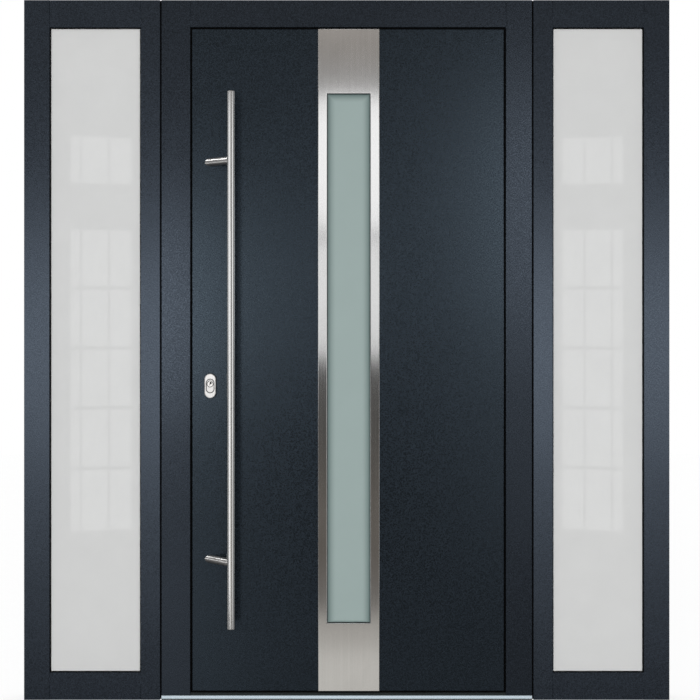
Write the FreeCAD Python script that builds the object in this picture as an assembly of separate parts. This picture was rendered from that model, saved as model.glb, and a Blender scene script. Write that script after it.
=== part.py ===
import FreeCAD, Part
import math
import os

# Door with a fixed sidelight on each side. Lengths are in millimetres.
# The outside of the house is -Y, the inside is +Y, and +Z is up.
# Seen from outside, the lock is on the left (-X) and the hinges on the right (+X).
# The origin is on the floor, midway along the element and midway through the frame.

# Whole element
overall_height = 2100.0
frame_depth = 75.0
edge_bevel = 0.8

# Door frame: width of each visible face, and the rebate that the leaf closes into
door_unit_width = 1111.5
lock_jamb_face = 86.0
hinge_jamb_face = 78.0
head_face = 81.5
stop_lip_depth = 10.0
break_groove_depth = 2.0
break_groove_width = 18.0
break_groove_inset = 30.0

# Clearances round the leaf
face_gap = 6.0
rebate_gap = 8.0
seal_gap = 6.0
seal_play = 0.5
bottom_gap = 5.5
floor_gap = 6.5

# Threshold: dark base, bright nose, lower floor behind it, and the upright stop
base_height = 4.0
nose_height = 10.0
nose_depth = 10.0
nose_radius = 2.0
sill_floor_height = 4.0
stop_rise = 7.5
stop_depth = 6.5
stop_chamfer = 2.0

# Leaf
leaf_overlap = 16.0
sheet_thickness = 3.0
leaf_member_width = 100.0
hardware_groove_width = 24.0
hardware_groove_depth = 3.0
hardware_groove_inset = 34.0

# Stainless strip and the tall window in it
strip_width = 184.0
strip_thickness = 3.0
strip_offset = 2.0
strip_edge_chamfer = 1.0
strip_fold_wall = 1.2
strip_fold_bevel = 2.0
window_width = 130.0
window_sill = 204.0
window_head = 193.5
window_cover = 12.0
window_gasket_depth = 4.0
window_gasket_show = 3.0
window_glass_thickness = 44.0
window_glass_edge_gap = 3.0
window_inner_gasket_depth = 3.0
inner_trim_width = 10.0
inner_trim_thickness = 2.0

# Sidelights
outer_stile_face = 76.5
inner_stile_face = 58.0
rail_face = 82.5
sidelight_clear_width = 273.5
unit_joint = 4.5
coupling_recess = 12.0
coupling_inner_recess = 2.0
glazing_lip_depth = 8.0
glazing_cover = 20.0
glass_gasket_depth = 4.0
glass_gasket_foot = 8.0
glass_gasket_show = 3.0
glass_gasket_nose = 3.0
side_glass_thickness = 36.0
side_glass_edge_gap = 5.0
bead_gasket_depth = 4.0
bead_edge_radius = 2.0

# Holes for the wall screws, in the outer stile of each sidelight
wall_hole_radius = 4.0
wall_hole_count = 4
wall_hole_inset = 150.0

# Pull bar on two supports that stand at 45 degrees
lock_inset = 55.0
bar_radius = 12.5
bar_foot = 200.7
bar_head = 194.8
bar_standoff = 67.0
bar_end_chamfer = 0.8
support_radius = 10.0
support_overhang = 200.0

# Lock: outer rosette with its guard, the cylinder, and the inner furniture
rosette_width = 35.0
rosette_height = 74.6
rosette_thickness = 12.5
rose_bevel = 1.6
guard_width = 26.0
guard_height = 42.0
guard_thickness = 2.5
guard_groove = 0.4
lock_height = 915.75
plug_above_centre = 6.0
plug_radius = 8.5
plug_play = 0.2
cylinder_body_width = 10.0
cylinder_total_height = 33.0
key_slot_width = 2.2
key_slot_length = 8.5
key_slot_depth = 6.0
key_slot_lean = 35.0
inner_rose_width = 32.0
inner_rose_height = 70.0
inner_rose_thickness = 8.0
lever_above_plug = 92.0
lever_radius = 9.5
lever_reach = 56.0
lever_length = 132.0

# Lock faceplate in the leaf's edge, its bolts, and the strike plates in the jamb
faceplate_foot = 150.0
faceplate_head = 85.5
bolt_width = 14.0
bolt_play = 0.4
bolt_set_back = 0.5
hook_bolt_length = 60.0
hook_bolt_inset = 70.0
deadbolt_length = 40.0
deadbolt_below_plug = 60.0
latch_length = 34.0
latch_above_plug = 70.0
strike_thickness = 2.0
strike_margin = 40.0
strike_play = 1.5
strike_length_play = 4.0
mortise_depth = 22.0

# Hinges on the inside
lower_hinge_height = 250.0
upper_hinge_drop = 195.5
middle_hinge_drop = 360.0
hinge_barrel_radius = 10.0
hinge_axis_offset = 15.0
hinge_length = 100.0
hinge_leaf_knuckle = 50.0
hinge_knuckle_gap = 0.5
hinge_pin_radius = 5.0
hinge_pin_play = 0.3
hinge_plate_width = 46.0
hinge_plate_thickness = 6.0
hinge_plate_inset = 6.0
hinge_edge_bevel = 2.0

# Seal on the frame's stop
seal_width = 7.0
seal_inset = 1.0

# Depths, counted from the outer face of the frame
outer_face = -frame_depth / 2
inner_face = frame_depth / 2
flange_depth = stop_lip_depth + seal_gap
leaf_back = frame_depth - sheet_thickness

# Widths of the door unit
unit_left = -door_unit_width / 2
unit_right = door_unit_width / 2
lip_left = unit_left + lock_jamb_face
lip_right = unit_right - hinge_jamb_face
lip_top = overall_height - head_face
leaf_left = lip_left + face_gap
leaf_right = lip_right - face_gap
leaf_top = lip_top - face_gap
flange_left = leaf_left - leaf_overlap
flange_right = leaf_right + leaf_overlap
flange_top = leaf_top + leaf_overlap
rebate_width = leaf_overlap + rebate_gap - face_gap

# Heights of the threshold and the leaf's lower edge
nose_top = base_height + nose_height
sill_floor = base_height + sill_floor_height
stop_top = nose_top + stop_rise
leaf_bottom = stop_top + bottom_gap
flange_bottom = sill_floor + floor_gap

# Strip and window
strip_centre = (leaf_left + leaf_right) / 2 + strip_offset
window_bottom = leaf_bottom + window_sill
window_top = leaf_top - window_head
window_glass_front = sheet_thickness + window_gasket_depth
window_glass_back = window_glass_front + window_glass_thickness
window_trim_front = window_glass_back + window_inner_gasket_depth

# Sidelights
sidelight_width = outer_stile_face + sidelight_clear_width + inner_stile_face
side_inner_edge = unit_right + unit_joint
side_outer_edge = side_inner_edge + sidelight_width
side_glass_front = glazing_lip_depth + glass_gasket_depth
side_glass_back = side_glass_front + side_glass_thickness
bead_front = side_glass_back + bead_gasket_depth

wall_hole_spacing = (overall_height - 2 * wall_hole_inset) / (wall_hole_count - 1)

# Lock and pull bar
lock_x = leaf_left + lock_inset
rosette_z = leaf_bottom + lock_height
plug_z = rosette_z + plug_above_centre
lever_z = plug_z + lever_above_plug
bar_x = lock_x + bar_standoff
bar_y = outer_face - bar_standoff
bar_base = leaf_bottom + bar_foot
bar_length = leaf_top - bar_head - bar_base

# Hinge axis, in the middle of the gap between leaf and frame
hinge_x = flange_right + rebate_gap / 2
hinge_y = inner_face + hinge_axis_offset
upper_hinge_z = leaf_top - upper_hinge_drop
hinge_heights = (leaf_bottom + lower_hinge_height, upper_hinge_z - middle_hinge_drop, upper_hinge_z)

# Faceplate and bolts: middle height and length of each bolt, from the bottom up
faceplate_bottom = leaf_bottom + faceplate_foot
faceplate_top = leaf_top - faceplate_head
bolt_places = (
    (faceplate_bottom + hook_bolt_inset, hook_bolt_length),
    (plug_z - deadbolt_below_plug, deadbolt_length),
    (plug_z + latch_above_plug, latch_length),
    (faceplate_top - hook_bolt_inset, hook_bolt_length),
)


def vec(x, y, z):
    """A point or a direction."""
    return FreeCAD.Vector(x, y, z)


def block(x0, x1, y0, y1, z0, z1):
    """Rectangular solid between two opposite corners."""
    return Part.makeBox(x1 - x0, y1 - y0, z1 - z0, vec(x0, y0, z0))


def across(x0, x1, depth0, depth1, z0, z1):
    """Rectangular solid whose depths are counted from the frame's outer face."""
    return block(x0, x1, outer_face + depth0, outer_face + depth1, z0, z1)


def outward(solid):
    """The same solid with its faces turned outwards."""
    if solid.Volume < 0:
        solid.reverse()
    return solid


def eased_wire(corners, round_corners):
    """Closed wire through (point, ease) corners, each eased by an arc or else by a straight bevel."""
    stops = []
    for index, (corner, ease) in enumerate(corners):
        if ease <= 0:
            stops.append((corner, None, corner))
            continue
        to_before = (corners[index - 1][0] - corner).normalize()
        to_after = (corners[(index + 1) % len(corners)][0] - corner).normalize()
        half_angle = to_before.getAngle(to_after) / 2
        reach = ease / math.tan(half_angle)
        bisector = (to_before + to_after).normalize()
        middle = corner + bisector * (ease / math.sin(half_angle) - ease)
        stops.append((corner + to_before * reach, middle, corner + to_after * reach))
    edges = []
    for index, (start, middle, end) in enumerate(stops):
        if middle is not None and round_corners:
            edges.append(Part.Arc(start, middle, end).toShape())
        elif middle is not None:
            edges.append(Part.makeLine(start, end))
        next_start = stops[(index + 1) % len(stops)][0]
        if (next_start - end).Length > 1e-6:
            edges.append(Part.makeLine(end, next_start))
    return Part.Wire(edges)


def upright(section, edge_x, toward, bottom, top, round_corners=False):
    """Vertical bar: the section's first value runs from edge_x, the second inwards in depth."""
    corners = [(vec(edge_x + toward * u, outer_face + v, bottom), ease) for u, v, ease in section]
    outline = Part.Face(eased_wire(corners, round_corners))
    return outward(outline.extrude(vec(0, 0, top - bottom)))


def crossbar(section, edge_z, toward, left, right, round_corners=False):
    """Level bar: the section's first value runs from edge_z, the second inwards in depth."""
    corners = [(vec(left, outer_face + v, edge_z + toward * u), ease) for u, v, ease in section]
    outline = Part.Face(eased_wire(corners, round_corners))
    return outward(outline.extrude(vec(right - left, 0, 0)))


def sharp(section):
    """The same section with no eased corners."""
    return [(u, v, 0) for u, v, ease in section]


def ring(x0, x1, z0, z1, width, depth0, depth1):
    """Upright rectangular ring whose inner edge is x0..x1, z0..z1."""
    outer = across(x0 - width, x1 + width, depth0, depth1, z0 - width, z1 + width)
    return outer.cut(across(x0, x1, depth0 - 1, depth1 + 1, z0, z1))


def stadium(centre_x, centre_z, width, height, y):
    """Closed outline with round ends, upright, at depth y."""
    radius = width / 2
    rise = height / 2 - radius
    left = centre_x - radius
    right = centre_x + radius
    low = centre_z - rise
    high = centre_z + rise
    top_arc = Part.Arc(vec(left, y, high), vec(centre_x, y, high + radius), vec(right, y, high))
    low_arc = Part.Arc(vec(right, y, low), vec(centre_x, y, low - radius), vec(left, y, low))
    return Part.Wire([
        top_arc.toShape(),
        Part.makeLine(vec(right, y, high), vec(right, y, low)),
        low_arc.toShape(),
        Part.makeLine(vec(left, y, low), vec(left, y, high)),
    ])


def stadium_plate(centre_x, centre_z, width, height, y0, y1):
    """Straight-sided plate with round ends."""
    outline = Part.Face(stadium(centre_x, centre_z, width, height, y0))
    return outward(outline.extrude(vec(0, y1 - y0, 0)))


def edges_at(solid, y):
    """Edges of a solid that lie wholly at depth y."""
    return [edge for edge in solid.Edges if all(abs(v.Point.y - y) < 1e-3 for v in edge.Vertexes)]


def rose(centre_x, centre_z, width, height, seat_y, front_y):
    """Oval rose with a bevelled front edge."""
    body = stadium_plate(centre_x, centre_z, width, height, seat_y, front_y)
    return body.makeChamfer(rose_bevel, edges_at(body, front_y))


# Frame sections, as (distance from the outer edge, depth from the outer face, ease of the corner)


def stop_section(face):
    """Door frame member: a lip outside, and a rebate wall with the groove of the thermal break."""
    wall = face - rebate_width
    groove_end = break_groove_inset + break_groove_width
    return [
        (0, 0, edge_bevel),
        (face, 0, edge_bevel),
        (face, stop_lip_depth, edge_bevel),
        (wall, stop_lip_depth, 0),
        (wall, break_groove_inset, 0),
        (wall - break_groove_depth, break_groove_inset, 0),
        (wall - break_groove_depth, groove_end, 0),
        (wall, groove_end, 0),
        (wall, frame_depth, edge_bevel),
        (0, frame_depth, edge_bevel),
    ]


def glazing_section(face):
    """Sidelight frame member: a lip outside, and the rebate that holds the glass and its bead."""
    wall = face - glazing_cover
    return [
        (0, 0, edge_bevel),
        (face, 0, edge_bevel),
        (face, glazing_lip_depth, edge_bevel),
        (wall, glazing_lip_depth, 0),
        (wall, frame_depth, edge_bevel),
        (0, frame_depth, edge_bevel),
    ]


def leaf_section(overlap):
    """Leaf frame member: a flange that closes behind the lip, with the hardware groove in its edge."""
    groove_end = hardware_groove_inset + hardware_groove_width
    return [
        (overlap, sheet_thickness, 0),
        (leaf_member_width, sheet_thickness, 0),
        (leaf_member_width, leaf_back, 0),
        (0, leaf_back, 0),
        (0, groove_end, 0),
        (hardware_groove_depth, groove_end, 0),
        (hardware_groove_depth, hardware_groove_inset, 0),
        (0, hardware_groove_inset, 0),
        (0, flange_depth, edge_bevel),
        (overlap, flange_depth, 0),
    ]


# Threshold


def threshold_base():
    """Dark foot under the whole threshold."""
    return across(unit_left, unit_right, 0, frame_depth, 0, base_height)


def threshold_section():
    """Bright nose outside and a lower floor behind it."""
    return [
        (base_height, 0, 0),
        (nose_top, 0, nose_radius),
        (nose_top, nose_depth, 0),
        (sill_floor, nose_depth, 0),
        (sill_floor, frame_depth, edge_bevel),
        (base_height, frame_depth, 0),
    ]


def threshold():
    """Threshold profile from one side of the door unit to the other."""
    return crossbar(threshold_section(), 0, 1, unit_left, unit_right, True)


def threshold_stop():
    """Upright strip on the threshold, between the lips of the jambs."""
    front = stop_lip_depth - stop_depth
    section = [
        (nose_top, front, 0),
        (stop_top - stop_chamfer, front, 0),
        (stop_top, front + stop_chamfer, 0),
        (stop_top, stop_lip_depth, 0),
        (nose_top, stop_lip_depth, 0),
    ]
    return crossbar(section, 0, 1, lip_left, lip_right)


# Door frame


def jamb(face, edge_x, toward):
    """Jamb that stands on the threshold and runs to the top of the element."""
    whole = upright(stop_section(face), edge_x, toward, base_height, overall_height)
    return whole.cut(crossbar(sharp(threshold_section()), 0, 1, unit_left, unit_right))


def lock_jamb():
    """Jamb on the lock side, with a pocket for each strike plate and a mortise for each bolt."""
    solid = jamb(lock_jamb_face, unit_left, 1)
    for hollow in strike_blocks() + bolt_mortises():
        solid = solid.cut(hollow)
    return solid


def hinge_jamb():
    """Jamb on the hinge side."""
    return jamb(hinge_jamb_face, unit_right, -1)


def door_head():
    """Head between the jambs."""
    left = lip_left - rebate_width
    right = lip_right + rebate_width
    bar = crossbar(stop_section(head_face), overall_height, -1, left, right)
    bar = bar.cut(upright(sharp(stop_section(lock_jamb_face)), unit_left, 1, 0, overall_height))
    return bar.cut(upright(sharp(stop_section(hinge_jamb_face)), unit_right, -1, 0, overall_height))


def frame_seal():
    """Seal behind the stop, all round the leaf."""
    inner_left = lip_left - seal_inset
    inner_right = lip_right + seal_inset
    inner_top = lip_top + seal_inset
    depth = flange_depth - seal_play
    outer = across(inner_left - seal_width, inner_right + seal_width, stop_lip_depth, depth,
                   nose_top, inner_top + seal_width)
    return outer.cut(across(inner_left, inner_right, 0, frame_depth, stop_top - seal_inset, inner_top))


def strike_blocks():
    """Strike plates in the rebate wall, opposite the bolts."""
    wall = lip_left - rebate_width
    plates = []
    for low, high in strike_places():
        plates.append(across(wall - strike_thickness, wall, hardware_groove_inset,
                             hardware_groove_inset + hardware_groove_width, low, high))
    return plates


def strike_places():
    """Lower and upper end of each strike plate; the latch and the deadbolt share one."""
    lowest, deadbolt, latch, highest = bolt_places
    spans = [(lowest, lowest), (deadbolt, latch), (highest, highest)]
    return [(first[0] - first[1] / 2 - strike_margin, last[0] + last[1] / 2 + strike_margin)
            for first, last in spans]


def bolt_mortises():
    """Spaces that the bolts enter, through the strike plates and into the jamb."""
    wall = lip_left - rebate_width
    middle = hardware_groove_inset + hardware_groove_width / 2
    half = bolt_width / 2 + strike_play
    spaces = []
    for height, length in bolt_places:
        reach = length / 2 + strike_length_play
        spaces.append(across(wall - strike_thickness - mortise_depth, wall, middle - half, middle + half,
                             height - reach, height + reach))
    return spaces


def strike_plates():
    """All strike plates, with a slot opposite each bolt."""
    plates = []
    for plate in strike_blocks():
        for space in bolt_mortises():
            plate = plate.cut(space)
        plates.append(plate)
    return Part.makeCompound(plates)


# Sidelights


def side_edges(side):
    """Outer and inner edge of a sidelight; side is -1 on the left and 1 on the right."""
    return side * side_outer_edge, side * side_inner_edge


def glass_opening(side):
    """Clear opening of a sidelight as x0, x1, z0, z1."""
    outer, inner = side_edges(side)
    edges = sorted((outer - side * outer_stile_face, inner + side * inner_stile_face))
    return edges[0], edges[1], rail_face, overall_height - rail_face


def outer_stile(side):
    """Stile beside the wall, with the holes for its screws."""
    outer, _ = side_edges(side)
    solid = upright(glazing_section(outer_stile_face), outer, -side, 0, overall_height)
    for index in range(wall_hole_count):
        height = wall_hole_inset + index * wall_hole_spacing
        start = vec(outer + side, 0, height)
        reach = outer_stile_face + 2
        solid = solid.cut(Part.makeCylinder(wall_hole_radius, reach, start, vec(-side, 0, 0)))
    return solid


def inner_stile(side):
    """Stile beside the door unit."""
    _, inner = side_edges(side)
    return upright(glazing_section(inner_stile_face), inner, side, 0, overall_height)


def side_rail(side, edge_z, toward):
    """Rail between the stiles, coped over their lips."""
    outer, inner = side_edges(side)
    ends = sorted((outer - side * (outer_stile_face - glazing_cover),
                   inner + side * (inner_stile_face - glazing_cover)))
    bar = crossbar(glazing_section(rail_face), edge_z, toward, ends[0], ends[1])
    bar = bar.cut(upright(sharp(glazing_section(outer_stile_face)), outer, -side, 0, overall_height))
    return bar.cut(upright(sharp(glazing_section(inner_stile_face)), inner, side, 0, overall_height))


def side_top_rail(side):
    """Upper rail of a sidelight."""
    return side_rail(side, overall_height, -1)


def side_bottom_rail(side):
    """Lower rail of a sidelight."""
    return side_rail(side, 0, 1)


def side_glass(side):
    """Insulating glass of a sidelight."""
    x0, x1, z0, z1 = glass_opening(side)
    hidden = glazing_cover - side_glass_edge_gap
    return across(x0 - hidden, x1 + hidden, side_glass_front, side_glass_back, z0 - hidden, z1 + hidden)


def side_gaskets(side):
    """Gaskets on both faces of a sidelight's glass."""
    x0, x1, z0, z1 = glass_opening(side)
    show = glass_gasket_show
    foot = ring(x0, x1, z0, z1, glass_gasket_foot, glazing_lip_depth, side_glass_front)
    nose = ring(x0 + show, x1 - show, z0 + show, z1 - show, show,
                glazing_lip_depth - glass_gasket_nose, side_glass_front)
    inside = ring(x0 + show, x1 - show, z0 + show, z1 - show, show + glass_gasket_foot,
                  side_glass_back, bead_front)
    return Part.makeCompound([foot.fuse(nose).removeSplitter(), inside])


def side_beads(side):
    """Glazing beads on the inside: upright beads at full height, level ones between them."""
    x0, x1, z0, z1 = glass_opening(side)
    wide = glazing_cover
    section = [
        (0, bead_front, 0),
        (wide, bead_front, 0),
        (wide, frame_depth, bead_edge_radius),
        (0, frame_depth, 0),
    ]
    return Part.makeCompound([
        upright(section, x0 - wide, 1, z0 - wide, z1 + wide, True),
        upright(section, x1 + wide, -1, z0 - wide, z1 + wide, True),
        crossbar(section, z0 - wide, 1, x0, x1, True),
        crossbar(section, z1 + wide, -1, x0, x1, True),
    ])


def couplings():
    """Strips that join the sidelights to the door unit, set back to leave a groove outside."""
    strips = []
    for side in (-1, 1):
        x0, x1 = sorted((side * unit_right, side * side_inner_edge))
        strips.append(across(x0, x1, coupling_recess, frame_depth - coupling_inner_recess,
                             0, overall_height))
    return Part.makeCompound(strips)


# Leaf


def leaf_stile(edge_x, toward):
    """Upright member of the leaf, stepped at both ends so that only its flange passes the stop."""
    solid = upright(leaf_section(leaf_overlap), edge_x, toward, flange_bottom, flange_top)
    for z0, z1 in ((0, leaf_bottom), (leaf_top, overall_height)):
        solid = solid.cut(across(unit_left, unit_right, 0, flange_depth, z0, z1))
    return solid


def leaf_lock_stile():
    """Leaf stile on the lock side, bored for the lock cylinder."""
    return leaf_stile(flange_left, 1).cut(cylinder_passage())


def leaf_hinge_stile():
    """Leaf stile on the hinge side."""
    return leaf_stile(flange_right, -1)


def leaf_rail(edge_z, toward, overlap):
    """Level member between the leaf's stiles, with its own overlap behind the stop."""
    left = flange_left + leaf_member_width
    right = flange_right - leaf_member_width
    return crossbar(leaf_section(overlap), edge_z, toward, left, right)


def leaf_top_rail():
    """Upper rail of the leaf."""
    return leaf_rail(flange_top, -1, leaf_overlap)


def leaf_bottom_rail():
    """Lower rail of the leaf."""
    return leaf_rail(flange_bottom, 1, leaf_bottom - flange_bottom)


def window_block(extra, depth0, depth1):
    """Solid the size of the window, wider by extra on every side."""
    half = window_width / 2 + extra
    return across(strip_centre - half, strip_centre + half, depth0, depth1,
                  window_bottom - extra, window_top + extra)


def window_ring(inside, outside, depth0, depth1):
    """Ring round the window, from inside to outside of its edge."""
    return window_block(outside, depth0, depth1).cut(window_block(inside, depth0 - 1, depth1 + 1))


def leaf_core():
    """Insulating core between the leaf's stiles and rails."""
    solid = across(flange_left + leaf_member_width, flange_right - leaf_member_width,
                   sheet_thickness, leaf_back,
                   flange_bottom + leaf_member_width, flange_top - leaf_member_width)
    return solid.cut(window_block(window_cover + window_glass_edge_gap, 0, frame_depth))


def leaf_outer_sheet():
    """Outer sheet, one piece over the whole leaf, with its edges lightly bevelled."""
    sheet = across(leaf_left, leaf_right, 0, sheet_thickness, leaf_bottom, leaf_top)
    sheet = sheet.makeChamfer(edge_bevel, edges_at(sheet, outer_face))
    return sheet.cut(window_block(strip_fold_wall, -1, sheet_thickness + 1)).cut(cylinder_passage())


def leaf_inner_sheet():
    """Inner sheet, over the leaf's full width, with the hole for the inner window trim."""
    sheet = across(flange_left, flange_right, leaf_back, frame_depth, flange_bottom, flange_top)
    sheet = sheet.makeChamfer(edge_bevel, edges_at(sheet, inner_face))
    return sheet.cut(window_block(window_cover, 0, frame_depth + 1)).cut(cylinder_passage())


def stainless_strip():
    """Stainless strip over the leaf's full height, folded back all round its tall window."""
    half = strip_width / 2
    front_y = outer_face - strip_thickness
    strip = across(strip_centre - half, strip_centre + half, -strip_thickness, 0, leaf_bottom, leaf_top)
    strip = strip.makeChamfer(strip_edge_chamfer, edges_at(strip, front_y))
    fold = window_ring(0, strip_fold_wall, -strip_thickness, sheet_thickness)
    strip = strip.cut(window_block(0, -strip_thickness - 1, 1)).fuse(fold).removeSplitter()
    limit = window_width / 2 + 1e-3
    fold_edges = [edge for edge in edges_at(strip, front_y)
                  if all(abs(v.Point.x - strip_centre) < limit for v in edge.Vertexes)]
    return strip.makeChamfer(strip_fold_bevel, fold_edges)


def window_gaskets():
    """Gaskets on both faces of the leaf's glass."""
    outside = window_ring(-window_gasket_show, window_cover, sheet_thickness, window_glass_front)
    inside = window_ring(-window_gasket_show, window_cover, window_glass_back, window_trim_front)
    return Part.makeCompound([outside, inside])


def window_glass():
    """Satin glass of the leaf."""
    return window_block(window_cover, window_glass_front, window_glass_back)


def window_trim():
    """Inner trim: a sleeve against the glass and a flat flange on the inner sheet."""
    sleeve = window_ring(0, window_cover, window_trim_front, frame_depth)
    flange = window_ring(0, window_cover + inner_trim_width, frame_depth,
                         frame_depth + inner_trim_thickness)
    return sleeve.fuse(flange).removeSplitter()


# Pull bar


def pull_bar():
    """Round bar with lightly chamfered ends."""
    bar = Part.makeCylinder(bar_radius, bar_length, vec(bar_x, bar_y, bar_base), vec(0, 0, 1))
    ends = [edge for edge in bar.Edges if isinstance(edge.Curve, Part.Circle)]
    return bar.makeChamfer(bar_end_chamfer, ends)


def bar_support(height):
    """Round support from the leaf to the bar, at 45 degrees, saddled on the bar."""
    direction = vec(bar_x - lock_x, bar_y - outer_face, 0)
    reach = direction.Length
    direction.normalize()
    start = vec(lock_x, outer_face, height) - direction * support_radius * 2
    rod = Part.makeCylinder(support_radius, reach + support_radius * 2, start, direction)
    behind = block(lock_x - 4 * support_radius, bar_x, outer_face, inner_face,
                   height - 2 * support_radius, height + 2 * support_radius)
    bar = Part.makeCylinder(bar_radius, bar_length, vec(bar_x, bar_y, bar_base), vec(0, 0, 1))
    return rod.cut(behind).cut(bar)


def bar_supports():
    """Lower and upper support of the bar."""
    lower = bar_base + support_overhang
    upper = bar_base + bar_length - support_overhang
    return Part.makeCompound([bar_support(lower), bar_support(upper)])


# Lock


def cylinder_shape(play, y0, y1):
    """Lock cylinder section: a round plug over a narrow body with a round foot."""
    foot_radius = cylinder_body_width / 2 + play
    foot_z = plug_z + plug_radius - cylinder_total_height + cylinder_body_width / 2
    plug = Part.makeCylinder(plug_radius + play, y1 - y0, vec(lock_x, y0, plug_z), vec(0, 1, 0))
    foot = Part.makeCylinder(foot_radius, y1 - y0, vec(lock_x, y0, foot_z), vec(0, 1, 0))
    web = block(lock_x - foot_radius, lock_x + foot_radius, y0, y1, foot_z, plug_z)
    return plug.fuse([foot, web]).removeSplitter()


def cylinder_passage():
    """Hole for the lock cylinder, right through the leaf."""
    return cylinder_shape(plug_play, outer_face - frame_depth, inner_face + frame_depth)


def lock_rosette():
    """Outer rosette with the pocket for its guard."""
    front_y = outer_face - rosette_thickness
    solid = rose(lock_x, rosette_z, rosette_width, rosette_height, outer_face, front_y)
    pocket = stadium_plate(lock_x, rosette_z, guard_width + 2 * guard_groove,
                           guard_height + 2 * guard_groove, front_y - 1, front_y + guard_thickness)
    return solid.cut(pocket).cut(cylinder_passage())


def lock_guard():
    """Guard plate in the rosette, with a round hole for the plug."""
    front_y = outer_face - rosette_thickness
    plate = stadium_plate(lock_x, rosette_z, guard_width, guard_height, front_y, front_y + guard_thickness)
    hole = Part.makeCylinder(plug_radius + plug_play, 3 * guard_thickness,
                             vec(lock_x, front_y - guard_thickness, plug_z), vec(0, 1, 0))
    return plate.cut(hole)


def lock_cylinder():
    """Lock cylinder, with a key slot in each end."""
    front_y = outer_face - rosette_thickness
    back_y = inner_face + inner_rose_thickness
    body = cylinder_shape(0, front_y + guard_thickness, back_y)
    tip = Part.makeCylinder(plug_radius, guard_thickness, vec(lock_x, front_y, plug_z), vec(0, 1, 0))
    solid = body.fuse(tip).removeSplitter()
    for face_y, inward in ((front_y, 1), (back_y, -1)):
        half_width = key_slot_width / 2
        half_length = key_slot_length / 2
        slot = block(-half_width, half_width, -key_slot_depth, key_slot_depth, -half_length, half_length)
        slot.rotate(vec(0, 0, 0), vec(0, 1, 0), inward * key_slot_lean)
        slot.translate(vec(lock_x, face_y, plug_z))
        solid = solid.cut(slot)
    return solid


def inner_cylinder_rose():
    """Rose round the lock cylinder on the inside."""
    front_y = inner_face + inner_rose_thickness
    solid = rose(lock_x, rosette_z, inner_rose_width, inner_rose_height, inner_face, front_y)
    return solid.cut(cylinder_passage())


def inner_lever():
    """Lever handle on the inside: a rose, and a round bar mitred into neck and grip."""
    front_y = inner_face + inner_rose_thickness
    base = rose(lock_x, lever_z, inner_rose_width, inner_rose_height, inner_face, front_y)
    start = vec(lock_x, front_y, lever_z)
    corner = vec(lock_x, inner_face + lever_reach, lever_z)
    end = vec(lock_x + lever_length, inner_face + lever_reach, lever_z)
    path = Part.Wire([Part.makeLine(start, corner), Part.makeLine(corner, end)])
    section = Part.Wire([Part.Circle(start, vec(0, 1, 0), lever_radius).toShape()])
    mitred = 1
    handle = outward(path.makePipeShell([section], True, True, mitred))
    return base.fuse(handle).removeSplitter()


def bolt_spaces(play):
    """Openings for the bolts in the faceplate, larger by play."""
    middle = hardware_groove_inset + hardware_groove_width / 2
    half = bolt_width / 2 + play
    spaces = []
    for height, length in bolt_places:
        reach = length / 2 + play
        spaces.append((middle - half, middle + half, height - reach, height + reach))
    return spaces


def lock_faceplate():
    """Long faceplate in the edge of the leaf, with an opening for each bolt."""
    plate = across(flange_left, flange_left + hardware_groove_depth, hardware_groove_inset,
                   hardware_groove_inset + hardware_groove_width, faceplate_bottom, faceplate_top)
    for depth0, depth1, z0, z1 in bolt_spaces(bolt_play):
        plate = plate.cut(across(flange_left - 1, flange_left + hardware_groove_depth + 1,
                                 depth0, depth1, z0, z1))
    return plate


def lock_bolts():
    """Bolts, drawn back into the leaf's edge."""
    heads = []
    for depth0, depth1, z0, z1 in bolt_spaces(0):
        heads.append(across(flange_left + bolt_set_back, flange_left + hardware_groove_depth,
                            depth0, depth1, z0, z1))
    return Part.makeCompound(heads)


# Hinges


def knuckle(z0, z1):
    """Round part of a hinge about its axis."""
    return Part.makeCylinder(hinge_barrel_radius, z1 - z0, vec(hinge_x, hinge_y, z0), vec(0, 0, 1))


def hinge_arm(toward, z0, z1):
    """Plate on the inner face and the web that rises from it to the barrel."""
    inset = hinge_plate_inset
    top = hinge_plate_thickness
    run = hinge_plate_width
    rise = hinge_axis_offset
    section = [
        (inset, 0, 0),
        (inset + run, 0, 0),
        (inset + run, top, hinge_edge_bevel),
        (inset + rise, top, hinge_edge_bevel),
        (inset, rise + hinge_barrel_radius / 2, 0),
        (0, rise, 0),
    ]
    corners = [(vec(hinge_x + toward * u, inner_face + v, z0), ease) for u, v, ease in section]
    return outward(Part.Face(eased_wire(corners, False)).extrude(vec(0, 0, z1 - z0)))


def hinge_plate(toward, z0, z1):
    """Plate on the inner face over the hinge's full length."""
    ends = sorted((hinge_x + toward * hinge_plate_inset,
                   hinge_x + toward * (hinge_plate_inset + hinge_plate_width)))
    return block(ends[0], ends[1], inner_face, inner_face + hinge_plate_thickness, z0, z1)


def hinge_levels(centre):
    """Bottom, lower gap, upper gap and top of the hinge whose middle is at this height."""
    bottom = centre - hinge_length / 2
    low = centre - hinge_leaf_knuckle / 2
    high = centre + hinge_leaf_knuckle / 2
    top = centre + hinge_length / 2
    return bottom, low, high, top


def hinge_frame_part(centre):
    """Frame side of a hinge: plate, two knuckles and the pin between them."""
    bottom, low, high, top = hinge_levels(centre)
    pin = Part.makeCylinder(hinge_pin_radius, top - bottom, vec(hinge_x, hinge_y, bottom), vec(0, 0, 1))
    parts = [
        pin,
        hinge_arm(1, bottom, low - hinge_knuckle_gap),
        knuckle(high + hinge_knuckle_gap, top),
        hinge_arm(1, high + hinge_knuckle_gap, top),
        hinge_plate(1, bottom, top),
    ]
    return knuckle(bottom, low - hinge_knuckle_gap).fuse(parts).removeSplitter()


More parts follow.
